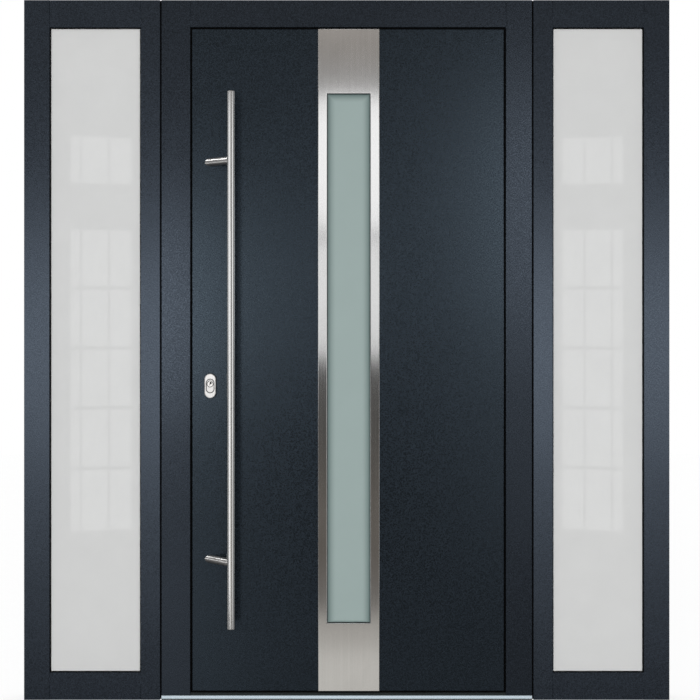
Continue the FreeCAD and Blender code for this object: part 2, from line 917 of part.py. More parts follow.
def hinge_leaf_part(centre):
    """Leaf side of a hinge: plate and one knuckle, bored for the pin."""
    bottom, low, high, top = hinge_levels(centre)
    solid = knuckle(low, high).fuse([hinge_arm(-1, low, high), hinge_plate(-1, bottom, top)])
    bore = Part.makeCylinder(hinge_pin_radius + hinge_pin_play, top - bottom,
                             vec(hinge_x, hinge_y, bottom), vec(0, 0, 1))
    return solid.removeSplitter().cut(bore)


def all_pieces():
    """Every piece of the element by name."""
    pieces = {
        "threshold_base": threshold_base(),
        "threshold": threshold(),
        "threshold_stop": threshold_stop(),
        "lock_jamb": lock_jamb(),
        "hinge_jamb": hinge_jamb(),
        "door_head": door_head(),
        "frame_seal": frame_seal(),
        "strike_plates": strike_plates(),
        "leaf_lock_stile": leaf_lock_stile(),
        "leaf_hinge_stile": leaf_hinge_stile(),
        "leaf_top_rail": leaf_top_rail(),
        "leaf_bottom_rail": leaf_bottom_rail(),
        "leaf_core": leaf_core(),
        "leaf_outer_sheet": leaf_outer_sheet(),
        "leaf_inner_sheet": leaf_inner_sheet(),
        "stainless_strip": stainless_strip(),
        "window_gaskets": window_gaskets(),
        "window_glass": window_glass(),
        "window_trim": window_trim(),
        "pull_bar": pull_bar(),
        "bar_supports": bar_supports(),
        "lock_rosette": lock_rosette(),
        "lock_guard": lock_guard(),
        "lock_cylinder": lock_cylinder(),
        "inner_cylinder_rose": inner_cylinder_rose(),
        "inner_lever": inner_lever(),
        "lock_faceplate": lock_faceplate(),
        "lock_bolts": lock_bolts(),
        "couplings": couplings(),
        "hinge_frame_parts": Part.makeCompound([hinge_frame_part(z) for z in hinge_heights]),
        "hinge_leaf_parts": Part.makeCompound([hinge_leaf_part(z) for z in hinge_heights]),
    }
    for name, side in (("left", -1), ("right", 1)):
        pieces[name + "_outer_stile"] = outer_stile(side)
        pieces[name + "_inner_stile"] = inner_stile(side)
        pieces[name + "_top_rail"] = side_top_rail(side)
        pieces[name + "_bottom_rail"] = side_bottom_rail(side)
        pieces[name + "_glass"] = side_glass(side)
        pieces[name + "_gaskets"] = side_gaskets(side)
        pieces[name + "_beads"] = side_beads(side)
    return pieces


def main():
    """Build every piece and write it to its own file."""
    os.makedirs("parts", exist_ok=True)
    for name, shape in all_pieces().items():
        shape.exportStep("parts/" + name + ".step")


main()
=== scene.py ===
import logging
import math
from dataclasses import dataclass
from enum import Enum

import bmesh
import bpy
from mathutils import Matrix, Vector


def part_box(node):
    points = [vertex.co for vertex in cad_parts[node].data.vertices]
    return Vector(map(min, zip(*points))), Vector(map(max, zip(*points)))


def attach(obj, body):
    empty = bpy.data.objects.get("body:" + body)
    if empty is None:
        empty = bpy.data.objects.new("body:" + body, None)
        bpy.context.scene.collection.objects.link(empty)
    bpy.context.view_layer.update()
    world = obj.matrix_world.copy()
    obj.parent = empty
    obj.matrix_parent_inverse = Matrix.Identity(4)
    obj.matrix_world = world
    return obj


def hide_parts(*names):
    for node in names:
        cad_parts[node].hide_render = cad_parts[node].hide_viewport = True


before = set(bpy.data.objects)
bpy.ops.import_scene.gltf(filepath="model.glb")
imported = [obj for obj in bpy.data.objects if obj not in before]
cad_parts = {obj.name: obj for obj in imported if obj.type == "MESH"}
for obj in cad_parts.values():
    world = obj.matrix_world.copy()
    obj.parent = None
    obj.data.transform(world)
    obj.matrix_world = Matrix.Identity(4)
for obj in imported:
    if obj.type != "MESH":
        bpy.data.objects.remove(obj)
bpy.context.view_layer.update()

MM = 0.001
log = logging.getLogger("door_with_sidelights")

Node = bpy.types.Node
Socket = bpy.types.NodeSocket
Colour = tuple[float, float, float]
Point = tuple[float, float, float]
Rect = tuple[float, float, float, float]
Outline = list[tuple[float, float]]
Station = tuple[Outline, float, float]
Level = float | Socket
Shade = Colour | Socket

FACE, BACK = -37.5, 37.5
UP, DEEP = (0.0, 0.0, 1.0), (0.0, 1.0, 0.0)
WHITE: Colour = (1.0, 1.0, 1.0)


class Axis(Enum):
    """Direction along which a metal is brushed, as stretch of its scratches."""

    X = (4.0, 900.0, 900.0)
    Z = (900.0, 900.0, 4.0)


class Nodes:
    """The nodes of one tree, each added with what feeds it."""

    def __init__(self, tree: bpy.types.NodeTree) -> None:
        """Opens a tree's nodes."""
        self.nodes, self.links = tree.nodes, tree.links

    def feed(self, node: Node, values: dict[str | int, object]) -> None:
        """Sets input sockets of a node.

        Args:
            node: The node.
            values: By name or index, a value or the socket that it comes from.
        """
        for socket, value in values.items():
            if isinstance(value, Socket):
                self.links.new(value, node.inputs[socket])
            else:
                node.inputs[socket].default_value = value

    def add(self, kind: str, values: dict[str | int, object] | None = None, **settings: object) -> Node:
        """Adds a node.

        Args:
            kind: The node's type.
            values: What its input sockets get.
            settings: The node's own settings.

        Returns:
            The node.
        """
        node = self.nodes.new(kind)
        for name, value in settings.items():
            setattr(node, name, value)
        self.feed(node, values or {})
        return node


class ShaderTree(Nodes):
    """The nodes of a material, light or world."""

    def __init__(self, owner: bpy.types.Material | bpy.types.Light | bpy.types.World) -> None:
        """Opens the owner's nodes."""
        owner.use_nodes = True
        super().__init__(owner.node_tree)

    def start_from(self, output_kind: str) -> Node:
        """Clears the tree and gives it an output of this kind."""
        self.nodes.clear()
        return self.add(output_kind)

    def place(self, stretch: Point = (1.0, 1.0, 1.0)) -> Socket:
        """Object coordinates, multiplied axis by axis by the stretch."""
        coordinates = self.add("ShaderNodeTexCoord").outputs["Object"]
        return self.add("ShaderNodeMapping", {"Vector": coordinates, "Scale": stretch}).outputs["Vector"]

    def parts(self, vector: Socket) -> bpy.types.NodeOutputs:
        """The X, Y and Z of a vector."""
        return self.add("ShaderNodeSeparateXYZ", {"Vector": vector}).outputs

    def noise(self, scale: float, detail: float = 2.0, stretch: Point = (1.0, 1.0, 1.0)) -> Socket:
        """Noise from 0 to 1 in object coordinates.

        Args:
            scale: Number of lumps in a metre.
            detail: How many finer layers it has.
            stretch: Factor for each axis before the scale.

        Returns:
            The socket that holds it.
        """
        values = {"Vector": self.place(stretch), "Scale": scale, "Detail": detail}
        return self.add("ShaderNodeTexNoise", values).outputs["Fac"]

    def span(self, source: Socket, low: float, high: float, start: float = 0.3, end: float = 0.7) -> Socket:
        """Maps a value from start..end to low..high, held at the ends.

        Args:
            source: The value.
            low: Result at start.
            high: Result at end.
            start: Lower end of the value's range; noise lies between 0.3 and 0.7.
            end: Upper end of the value's range.

        Returns:
            The socket that holds the result.
        """
        values = {"Value": source, "From Min": start, "From Max": end, "To Min": low, "To Max": high}
        return self.add("ShaderNodeMapRange", values).outputs["Result"]

    def math(self, operation: str, *terms: Level, clamp: bool = False) -> Socket:
        """Result of one operation on numbers or sockets, held between 0 and 1 if clamped."""
        return self.add("ShaderNodeMath", dict(enumerate(terms)), operation=operation,
                        use_clamp=clamp).outputs[0]

    def tint(self, factor: Socket, first: Shade, second: Shade, blend: str = "MIX") -> Socket:
        """Colour between two others.

        Args:
            factor: 0 gives the first, and 1 the second or both together.
            first: Linear colour or a socket that holds one.
            second: Linear colour or a socket that holds one.
            blend: How the two are put together.

        Returns:
            The socket that holds the colour.
        """
        first, second = ((*shade, 1.0) if isinstance(shade, tuple) else shade for shade in (first, second))
        node = self.add("ShaderNodeMix", data_type="RGBA", blend_type=blend)
        self.feed(node, {0: factor, 6: first, 7: second})
        return node.outputs[2]

    def shades(self, factor: Socket, colour: Colour, spread: float) -> Socket:
        """The colour, from darker to lighter by a spread."""
        return self.tint(factor, shade_of(colour, 1.0 - spread), shade_of(colour, 1.0 + spread))

    def mix(self, share: Level, first: Node, second: Node) -> Socket:
        """Mixes two shaders; a share of 1 is the second alone."""
        values = {"Fac": share, 1: first.outputs["BSDF"], 2: second.outputs["BSDF"]}
        return self.add("ShaderNodeMixShader", values).outputs["Shader"]

    def bump(self, height: Socket, depth: float) -> Socket:
        """Normal of a surface that is bumped by a pattern, as deep as this in metres."""
        return self.add("ShaderNodeBump", {"Height": height, "Strength": 1.0, "Distance": depth}).outputs["Normal"]

    def ramp(self, factor: Socket, steps: list[Point]) -> Socket:
        """Ramp of near greys.

        Args:
            factor: Where on the ramp, from 0 to 1.
            steps: Position, level, and share of blue against red of each stop.

        Returns:
            The socket that holds the colour.
        """
        node = self.add("ShaderNodeValToRGB", {"Fac": factor})
        stops = node.color_ramp.elements
        while len(stops) < len(steps):
            stops.new(0.5)
        for stop, (position, level, cool) in zip(stops, steps):
            stop.position = position
            stop.color = (level, level * (1.0 + cool) / 2, level * cool, 1.0)
        return node.outputs["Color"]


def shade_of(colour: Colour, factor: float) -> Colour:
    """The colour, lighter or darker by a factor."""
    return (colour[0] * factor, colour[1] * factor, colour[2] * factor)


class LightGroup(Enum):
    """Which reflectors of the studio a finish is lit by."""

    STRIP = "strip"
    STEEL = "steel"
    LOCK = "lock"
    BAR = "bar"
    POST = "post"
    SILL = "sill"
    PAINT = "paint"
    SIDE = "sidelight"
    GLASS = "glass"

    def receivers(self) -> bpy.types.Collection:
        """The collection of what these reflectors shine on, made on first use."""
        name = "lit_by_" + self.value
        return bpy.data.collections.get(name) or bpy.data.collections.new(name)


@dataclass(frozen=True)
class Finish:
    """A surface finish that becomes one material."""

    name: str
    colour: Colour
    roughness: float = 0.5
    metallic: float = 0.0
    lit_by: LightGroup = LightGroup.STEEL

    def material(self) -> bpy.types.Material:
        """The finish as a material, made on first use."""
        found = bpy.data.materials.get(self.name)
        if found is not None:
            return found
        material = bpy.data.materials.new(self.name)
        tree = ShaderTree(material)
        output = tree.start_from("ShaderNodeOutputMaterial")
        surface = tree.add("ShaderNodeBsdfPrincipled", {
            "Base Color": (*self.colour, 1.0), "Roughness": self.roughness, "Metallic": self.metallic})
        tree.feed(output, {"Surface": self.detail(tree, surface)})
        return material

    def detail(self, tree: ShaderTree, surface: Node) -> Socket:
        """Adds the finish's texture.

        Args:
            tree: The material's nodes.
            surface: Its principled shader.

        Returns:
            The shader socket of the finished surface.
        """
        return surface.outputs["BSDF"]


@dataclass(frozen=True)
class PowderCoat(Finish):
    """Fine textured powder coat: small even grain, faint clouds, satin sheen."""

    lit_by: LightGroup = LightGroup.PAINT
    grain: float = 330.0
    contrast: float = 1.15
    shade_spread: float = 0.75
    gloss_spread: float = 0.07
    cloud_scale: float = 7.0
    cloud_spread: float = 0.06
    relief_grain: float = 420.0
    relief: float = 0.00003
    sheen: Colour = (0.80, 0.96, 1.22)

    def detail(self, tree: ShaderTree, surface: Node) -> Socket:
        """Grain in the colour, the sheen and the relief."""
        speck = tree.noise(self.grain, 3.0)
        reach = 0.2 / self.contrast
        share = tree.math(
            "ADD", tree.span(speck, -0.5, 0.5, 0.5 - reach, 0.5 + reach),
            tree.span(tree.noise(self.cloud_scale), 0.5 - self.cloud_spread, 0.5 + self.cloud_spread))
        tree.feed(surface, {
            "Specular Tint": (*self.sheen, 1.0), "Base Color": tree.shades(share, self.colour, self.shade_spread),
            "Roughness": tree.span(speck, self.roughness - self.gloss_spread, self.roughness + self.gloss_spread),
            "Normal": tree.bump(tree.noise(self.relief_grain), self.relief)})
        return surface.outputs["BSDF"]


@dataclass(frozen=True)
class BrushedMetal(Finish):
    """Brushed metal: fine scratches along one axis and faint broader streaks."""

    metallic: float = 1.0
    along: Axis = Axis.Z
    scratch: float = 0.00001
    stretch: float = 0.0
    streak_width: float = 5.0
    shades: tuple[float, float] = (0.955, 1.04)
    gloss: tuple[float, float] = (0.85, 1.2)
    smudge: float = 0.0
    smudge_scale: float = 7.0
    turned_about: Point | None = None

    def detail(self, tree: ShaderTree, surface: Node) -> Socket:
        """Scratches and streaks, and smudges where it has been touched."""
        if self.turned_about is not None:
            axis = tree.add("ShaderNodeVectorMath", {0: self.turned_about}, operation="NORMALIZE")
            tree.feed(surface, {"Tangent": axis.outputs[0]})
        fine = tree.noise(1.0, 3.0, self.along.value)
        broad = tree.noise(1.0, 3.0, tuple(value / self.streak_width for value in self.along.value))
        share = tree.math("ADD", tree.span(fine, 0.0, 0.5), tree.span(broad, 0.0, 0.5))
        colour = tree.tint(share, *(shade_of(self.colour, factor) for factor in self.shades))
        if self.smudge > 0:
            touched = tree.span(tree.noise(self.smudge_scale, 3.0, (1.0, 1.0, 0.6)), 0.0, 1.0, 0.52, 0.70)
            colour = tree.tint(touched, colour, shade_of(WHITE, 1.0 - self.smudge), "MULTIPLY")
        low, high = (self.roughness * factor for factor in self.gloss)
        tree.feed(surface, {"Anisotropic": self.stretch, "Base Color": colour,
                            "Roughness": tree.span(fine, low, high), "Normal": tree.bump(fine, self.scratch)})
        return surface.outputs["BSDF"]


@dataclass(frozen=True)
class SatinGlass(Finish):
    """Etched glass: scatters light both ways, under a smooth outer face."""

    lit_by: LightGroup = LightGroup.GLASS
    through: Colour = (0.8, 0.8, 0.8)
    share_through: float = 0.5
    gloss: float = 0.3
    gloss_roughness: float = 0.02
    etched_specular: float = 0.1
    cloud_scale: float = 14.0
    cloud_spread: float = 0.03
    etch_grain: float = 1500.0
    etch_depth: float = 0.000004
    # Painted shade: inside this opening the colour darkens towards the edges, over the reach and by the curve, down
    # to the shade colour.
    opening: Rect | None = None
    painted_shade_reach: float = 0.027
    painted_shade_curve: float = 1.6
    painted_edge_shade_colour: Colour = (0.30, 0.36, 0.36)

    def detail(self, tree: ShaderTree, surface: Node) -> Socket:
        """Faint clouds in the etching, painted shade towards the edges of the opening, and light from behind."""
        colour = tree.shades(tree.noise(self.cloud_scale, 4.0), self.colour, self.cloud_spread)
        if self.opening is not None:
            colour = self.paint_edge_shade(tree, colour)
        tree.feed(surface, {
            "Coat Weight": self.gloss, "Coat Roughness": self.gloss_roughness,
            "Specular IOR Level": self.etched_specular, "Base Color": colour,
            "Normal": tree.bump(tree.noise(self.etch_grain, 1.0), self.etch_depth)})
        behind = tree.add("ShaderNodeBsdfTranslucent", {"Color": (*self.through, 1.0)})
        return tree.mix(self.share_through, surface, behind)

    def paint_edge_shade(self, tree: ShaderTree, colour: Socket) -> Socket:
        """Paints shade into the colour towards the edges of the opening, where the recess and the spacer would
        shade the glass.

        Args:
            tree: The material's nodes.
            colour: The glass's colour.

        Returns:
            The socket of the colour with painted shade at the edges.
        """
        place = tree.parts(tree.place())
        x0, x1, z0, z1 = (value * MM for value in self.opening)
        reach = self.painted_shade_reach
        nearest = tree.span(place["X"], 0.0, 1.0, x0 + reach, x0)
        for axis, inner, outer in (("X", x1 - reach, x1), ("Z", z1 - reach, z1), ("Z", z0 + reach / 3, z0)):
            nearest = tree.math("MAXIMUM", nearest, tree.span(place[axis], 0.0, 1.0, inner, outer))
        return tree.tint(tree.math("POWER", nearest, self.painted_shade_curve), colour, self.painted_edge_shade_colour, "MULTIPLY")


@dataclass(frozen=True)
class ClearGlass(Finish):
    """Clear float glass with a faint green body colour."""

    ior: float = 1.5
    wave_scale: float = 9.0
    wave_depth: float = 0.00002

    def detail(self, tree: ShaderTree, surface: Node) -> Socket:
        """Lets light through, also to what lies behind; the face has the slight waviness of float glass."""
        tree.feed(surface, {
            "Transmission Weight": 1.0, "IOR": self.ior,
            "Base Color": tree.tint(tree.noise(5.0, 1.0), shade_of(self.colour, 0.99), self.colour),
            "Normal": tree.bump(tree.noise(self.wave_scale, 1.0), self.wave_depth)})
        path = tree.add("ShaderNodeLightPath").outputs
        passing = tree.math("MAXIMUM", path["Is Shadow Ray"], path["Is Diffuse Ray"])
        one_face = (*(math.sqrt(value) for value in self.colour), 1.0)
        return tree.mix(passing, surface, tree.add("ShaderNodeBsdfTransparent", {"Color": one_face}))


@dataclass(frozen=True)
class SoftPlastic(Finish):
    """Rubber, plastic or foam: matte, with a fine grain."""

    grain: float = 600.0
    relief: float = 0.00003
    contrast: float = 0.25
    gloss_spread: float = 0.06

    def detail(self, tree: ShaderTree, surface: Node) -> Socket:
        """Grain in the colour and the relief."""
        grain = tree.noise(self.grain, 3.0)
        tree.feed(surface, {
            "Base Color": tree.shades(grain, self.colour, self.contrast),
            "Roughness": tree.span(grain, self.roughness - self.gloss_spread, self.roughness + self.gloss_spread),
            "Normal": tree.bump(grain, self.relief)})
        return surface.outputs["BSDF"]


@dataclass(frozen=True)
class FloorPaint(Finish):
    """White studio floor that runs into the white behind it."""

    lift: float = 0.78

    def detail(self, tree: ShaderTree, surface: Node) -> Socket:
        """Faint clouds, lifted to the white of the backdrop where the camera sees it."""
        colour = tree.tint(tree.noise(2.0), shade_of(self.colour, 0.98), self.colour)
        tree.feed(surface, {"Base Color": colour})
        seen = tree.add("ShaderNodeLightPath").outputs["Is Camera Ray"]
        glow = tree.add("ShaderNodeEmission", {"Strength": tree.span(seen, 0.0, self.lift, 0.0, 1.0)})
        both = {0: surface.outputs["BSDF"], 1: glow.outputs["Emission"]}
        return tree.add("ShaderNodeAddShader", both).outputs["Shader"]


PAINT_COLOUR, PAINT_SHEEN = (0.013, 0.0168, 0.0225), (0.79, 0.97, 1.24)
FRAME_PAINT = PowderCoat("frame_powder_coat", PAINT_COLOUR, 0.27, sheen=PAINT_SHEEN)
SIDE_PAINT = PowderCoat("sidelight_powder_coat", PAINT_COLOUR, 0.27, sheen=PAINT_SHEEN,
                        lit_by=LightGroup.SIDE)
LEAF_PAINT = PowderCoat("leaf_powder_coat", (0.0095, 0.013, 0.018), 0.27, contrast=2.4,
                        sheen=(0.76, 1.01, 1.27))
HINGE_PAINT = PowderCoat("hinge_powder_coat", (0.015, 0.019, 0.025), 0.27)
STRIP_STEEL = BrushedMetal("strip_brushed_steel", (0.62, 0.62, 0.62), 0.15, lit_by=LightGroup.STRIP,
                           stretch=0.95, scratch=0.00002, smudge=0.07)
BAR_STEEL = BrushedMetal("bar_satin_steel", (0.64, 0.64, 0.635), 0.13, scratch=0.000003,
                         lit_by=LightGroup.BAR)
POST_STEEL = BrushedMetal("support_turned_steel", (0.66, 0.65, 0.64), 0.30, 0.9, along=Axis.X,
                          scratch=0.000002, stretch=0.95, turned_about=(1.0, -1.0, 0.0),
                          lit_by=LightGroup.POST)
LOCK_STEEL = BrushedMetal("rosette_satin_steel", (0.74, 0.735, 0.73), 0.3, scratch=0.000006,
                          lit_by=LightGroup.LOCK)
GUARD_STEEL = BrushedMetal("guard_satin_steel", (0.69, 0.685, 0.68), 0.3, scratch=0.000003,
                           lit_by=LightGroup.LOCK)
LOCK_BRASS = BrushedMetal("plug_nickel_plate", (0.70, 0.695, 0.68), 0.25, along=Axis.X, scratch=0.000004,
                          lit_by=LightGroup.LOCK)
EDGE_STEEL = BrushedMetal("lock_edge_steel", (0.58, 0.58, 0.57), 0.3, scratch=0.000008)
BOLT_STEEL = BrushedMetal("bolt_zinc_plate", (0.50, 0.50, 0.49), 0.34, scratch=0.000006)
SILL_ALUMINIUM = BrushedMetal("sill_anodised_aluminium", (0.80, 0.87, 0.92), 0.24, along=Axis.X,
                              scratch=0.000003, lit_by=LightGroup.SILL)
STOP_ALUMINIUM = BrushedMetal("stop_anodised_grey", (0.10, 0.125, 0.13), 0.45, 0.4, along=Axis.X)
WINDOW: Rect = (-59.0, 71.0, 231.0, 1819.0)
# The window glass gets painted shade towards the edges of its opening.
WINDOW_GLASS = SatinGlass("window_satin_glass", (0.402, 0.500, 0.487), 0.35, through=(0.6, 0.72, 0.7),
                          share_through=0.05, opening=WINDOW)
SIDE_GLASS = SatinGlass("sidelight_white_glass", (0.83, 0.84, 0.84), 0.4, through=(0.85, 0.86, 0.86),
                        share_through=0.07, gloss=1.0)
CLEAR_GLASS = ClearGlass("inner_clear_glass", (0.96, 0.98, 0.97), 0.02)
RUBBER = SoftPlastic("seal_rubber", (0.007, 0.007, 0.008), 0.6)
DARK_PLASTIC = SoftPlastic("dark_plastic", (0.016, 0.014, 0.018), 0.6)
SPACER = SoftPlastic("spacer_dark_grey", (0.05, 0.052, 0.055), 0.5)
FOAM = SoftPlastic("core_foam", (0.70, 0.66, 0.52), 0.8, grain=260.0, relief=0.0004, contrast=0.12)


def dress(node: str, finish: Finish) -> None:
    """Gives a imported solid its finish.

    Args:
        node: The solid's name.
        finish: Its finish.
    """
    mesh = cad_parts[node].data
    mesh.materials.clear()
    mesh.materials.append(finish.material())
    finish.lit_by.receivers().objects.link(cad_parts[node])
    log.info("dressed %s in %s", node, finish.name)


def new_object(name: str, data: bpy.types.ID) -> bpy.types.Object:
    """A new object in the scene's own collection."""
    item = bpy.data.objects.new(name, data)
    bpy.context.scene.collection.objects.link(item)
    return item


@dataclass
class SoftBox:
    """A rectangular studio light that shines at the door."""

    name: str
    place: Point
    width: float
    height: float
    radiance: float
    colour: Colour = WHITE
    target: Point = (0.0, 0.0, 1.1)
    level: bool = True
    mirrored: bool = True
    uprights: tuple[float, ...] = ()
    rails: tuple[float, ...] = ()
    upright_half: float = 0.018
    rail_half: float = 0.006

    def build(self, group: LightGroup | None) -> None:
        """Makes the light, unseen by the camera itself.

        Args:
            group: What it shines on; without one it shines on everything.
        """
        light = bpy.data.lights.new(self.name, "AREA")
        light.shape = "RECTANGLE"
        light.size = self.width
        light.size_y = self.height
        light.energy = self.radiance * math.pi * self.width * self.height
        light.color = self.colour
        lamp = new_object(self.name, light)
        aim = Vector(self.target) - Vector(self.place)
        if self.level:
            aim.z = 0.0
        lamp.location = self.place
        lamp.rotation_euler = aim.to_track_quat("-Z", "Y").to_euler()
        lamp.visible_camera = False
        lamp.visible_glossy = self.mirrored
        if group is not None:
            lamp.light_linking.receiver_collection = group.receivers()
        if self.uprights:
            self.divide(light)

    def divide(self, light: bpy.types.AreaLight) -> None:
        """Draws dark bars across the light, like the panes of a studio window.

        Args:
            light: The light, whose face runs from 0 to 1 both ways.
        """
        tree = ShaderTree(light)
        emission = next(node for node in tree.nodes if node.type == "EMISSION")
        face = tree.parts(tree.add("ShaderNodeNewGeometry").outputs["Parametric"])
        bars = [(face["X"], centre, self.upright_half) for centre in self.uprights]
        bars += [(face["Y"], centre, self.rail_half) for centre in self.rails]
        open_area = 1.0
        for bar in bars:
            open_area = tree.math("SUBTRACT", open_area, tree.math("COMPARE", *bar), clamp=True)
        tree.feed(emission, {"Strength": open_area})


@dataclass
class Studio:
    """Plain pale floor, plain soft light and the camera."""

    camera_x: float = 0.00975
    camera_z: float = 1.20
    distance: float = 4.45
    face_y: float = -0.0375
    view_height: float = 2.1
    sensor: float = 36.0
    floor_size: float = 14.0
    behind: Colour = (0.95, 0.96, 0.97)
    behind_from: tuple[float, float] = (-0.05, 0.30)
    beside_from: tuple[float, float] = (0.58, 0.68)

    def build(self) -> None:
        """Makes the floor, the surroundings, the lights and the camera."""
        self.build_camera()
        self.build_floor()
        self.build_surroundings()
        for group, boxes in self.lights():
            for box in boxes:
                box.build(group)
        bpy.context.scene.view_settings.view_transform = "Standard"

    def lights(self) -> list[tuple[LightGroup | None, list[SoftBox]]]:
        """The studio lights by what they shine on, in the order in which they are made."""
        sides = (("left", -1), ("right", 1))
        windows = (("left", -1.515, -4.65, (0.17, 0.63)), ("right", 1.497, -4.66, (0.37, 0.82)))
        panes = (("window", 0.0, 0.709, 1.84, (0.207, 0.407, 0.607, 0.807)),
                 ("top_window", -0.002, 2.055, 0.285, ()))
        return [
            (LightGroup.STRIP, [
                SoftBox("strip_head_reflector", (0.01, -5.06, 3.15), 3.4, 0.5, 0.12, (1.0, 0.93, 0.90)),
                SoftBox("strip_upper_reflector", (0.01, -5.05, 2.075), 3.4, 0.87, 1.14),
                SoftBox("strip_lower_reflector", (0.01, -5.04, 1.21), 3.4, 0.76, 0.92),
                SoftBox("strip_low_reflector", (0.01, -5.03, 0.18), 3.4, 1.0, 0.03, (1.0, 0.96, 0.88)),
                SoftBox("strip_floor_reflector", (0.01, -5.02, -1.18), 3.4, 0.76, 0.37, (1.0, 0.955, 0.865)),
                SoftBox("strip_foot_reflector", (0.01, -5.01, -1.27), 3.4, 0.50, 0.22, (1.0, 0.99, 0.95)),
                *(SoftBox(f"strip_{side}_light", (way * 2.4, -1.9, 1.1), 3.6, 2.4, 0.9, target=(0.0, -1.9, 1.1))
                  for side, way in sides),
                SoftBox("strip_top_light", (0.0, -2.2, 4.0), 2.0, 1.6, 2.5, level=False)]),
            (LightGroup.SIDE, [
                SoftBox("side_reflector", (0.0, -4.68, 0.93), 6.0, 1.3, 3.15),
                SoftBox("side_low_reflector", (0.0, -4.69, -0.28), 6.0, 1.1, 0.72),
                SoftBox("side_top_reflector", (0.0, -4.70, 2.2), 6.0, 1.2, 0.14),
                SoftBox("side_floor_reflector", (0.0, -4.71, -1.5), 6.0, 0.9, 0.05)]),
            (LightGroup.PAINT, [
                SoftBox("left_reflector", (-1.36, -4.60, 1.12), 0.84, 1.15, 5.2),
                SoftBox("left_low_reflector", (-1.22, -4.61, -0.60), 0.75, 1.5, 1.0),
                SoftBox("right_near_reflector", (1.18, -4.64, 1.75), 0.62, 1.45, 3.7),
                SoftBox("right_low_reflector", (1.18, -4.65, 0.30), 0.8, 1.2, 0.85),
                SoftBox("floor_reflector", (0.0, -4.72, -1.25), 3.0, 0.9, 0.16),
                SoftBox("middle_reflector", (-0.35, -4.90, 1.25), 0.9, 1.0, 0.85),
                *(SoftBox(f"{side}_side_reflector", (way * 2.6, -1.9, 1.35), 3.4, 0.8, 2.2,
                          target=(0.0, -1.9, 1.35)) for side, way in sides)]),
            (LightGroup.GLASS, [
                SoftBox(f"{side}_{part}", (x, y + back, z), 0.371, height, 1.33, uprights=uprights, rails=rails)
                for side, x, y, uprights in windows for part, back, z, height, rails in panes]),
            (LightGroup.BAR, [
                SoftBox("bar_left_reflector", (-4.4, -3.9, 1.70), 3.6, 1.7, 1.16),
                SoftBox("bar_left_low_reflector", (-3.75, -3.89, 0.05), 2.3, 1.6, 1.5),
                SoftBox("bar_near_top_reflector", (-1.05, -4.585, 2.046), 1.7, 0.808, 0.50),
                SoftBox("bar_near_reflector", (-1.05, -4.575, 0.839), 1.7, 1.606, 1.05),
                SoftBox("bar_near_low_reflector", (-1.05, -4.565, -0.407), 1.7, 0.886, 0.94),
                SoftBox("bar_middle_reflector", (0.35, -4.555, 0.05), 0.5, 1.9, 0.6),
                SoftBox("bar_right_reflector", (3.2, -4.0, 1.36), 1.9, 2.28, 1.2),
                SoftBox("bar_right_low_reflector", (3.2, -3.99, -0.34), 1.9, 1.12, 0.72)]),
            (LightGroup.POST, [
                SoftBox("post_light", (-2.36, -0.83, 3.74), 1.6, 1.0, 14.0, target=(-0.4, -0.1, 1.6), level=False),
                SoftBox("post_low_light", (-2.63, -0.62, 0.61), 1.0, 0.42, 3.2, target=(-0.4, -0.1, 0.61))]),
            (LightGroup.LOCK, [SoftBox("lock_reflector", (-0.84, -4.56, 0.68), 2.4, 2.4, 1.4)]),
            (LightGroup.SILL, [
                SoftBox("sill_front", (0.0, -1.6, 0.55), 4.0, 1.4, 0.35, (0.80, 1.0, 1.06), (0.0, 0.0, 0.0), False),
                SoftBox("sill_low_reflector", (0.0, -1.5, -0.40), 4.6, 0.42, 0.66, (0.92, 1.0, 1.08))]),
            (LightGroup.GLASS, [
                SoftBox("glass_front", (0.3, -6.5, 0.3), 6.0, 3.0, 5.35, level=False, mirrored=False)]),
            (None, [SoftBox("upper_left_key", (-2.8, -3.2, 4.2), 1.8, 1.8, 1.3, level=False)]),
        ]

    def build_camera(self) -> None:
        """Camera square to the face, at the photograph's height."""
        data = bpy.data.cameras.new("camera")
        data.sensor_width = self.sensor
        data.lens = self.sensor * self.distance / self.view_height
        data.shift_y = (self.view_height / 2 - self.camera_z) / self.view_height
        data.clip_end = 100.0
        camera = new_object("camera", data)
        camera.location = (self.camera_x, self.face_y - self.distance, self.camera_z)
        camera.rotation_euler = (math.pi / 2, 0.0, 0.0)
        bpy.context.scene.camera = camera

    def build_floor(self) -> None:
        """Pale matte floor, just under the threshold."""
        mesh = bpy.data.meshes.new("floor")
        half = self.floor_size / 2
        corners = [(-half, -half, 0.0), (half, -half, 0.0), (half, half, 0.0), (-half, half, 0.0)]
        mesh.from_pydata(corners, [], [(0, 1, 2, 3)])
        floor = new_object("floor", mesh)
        mesh.materials.append(FloorPaint("floor_white", (0.34, 0.34, 0.34), 0.9).material())
        floor.visible_glossy = False
        floor.visible_shadow = False

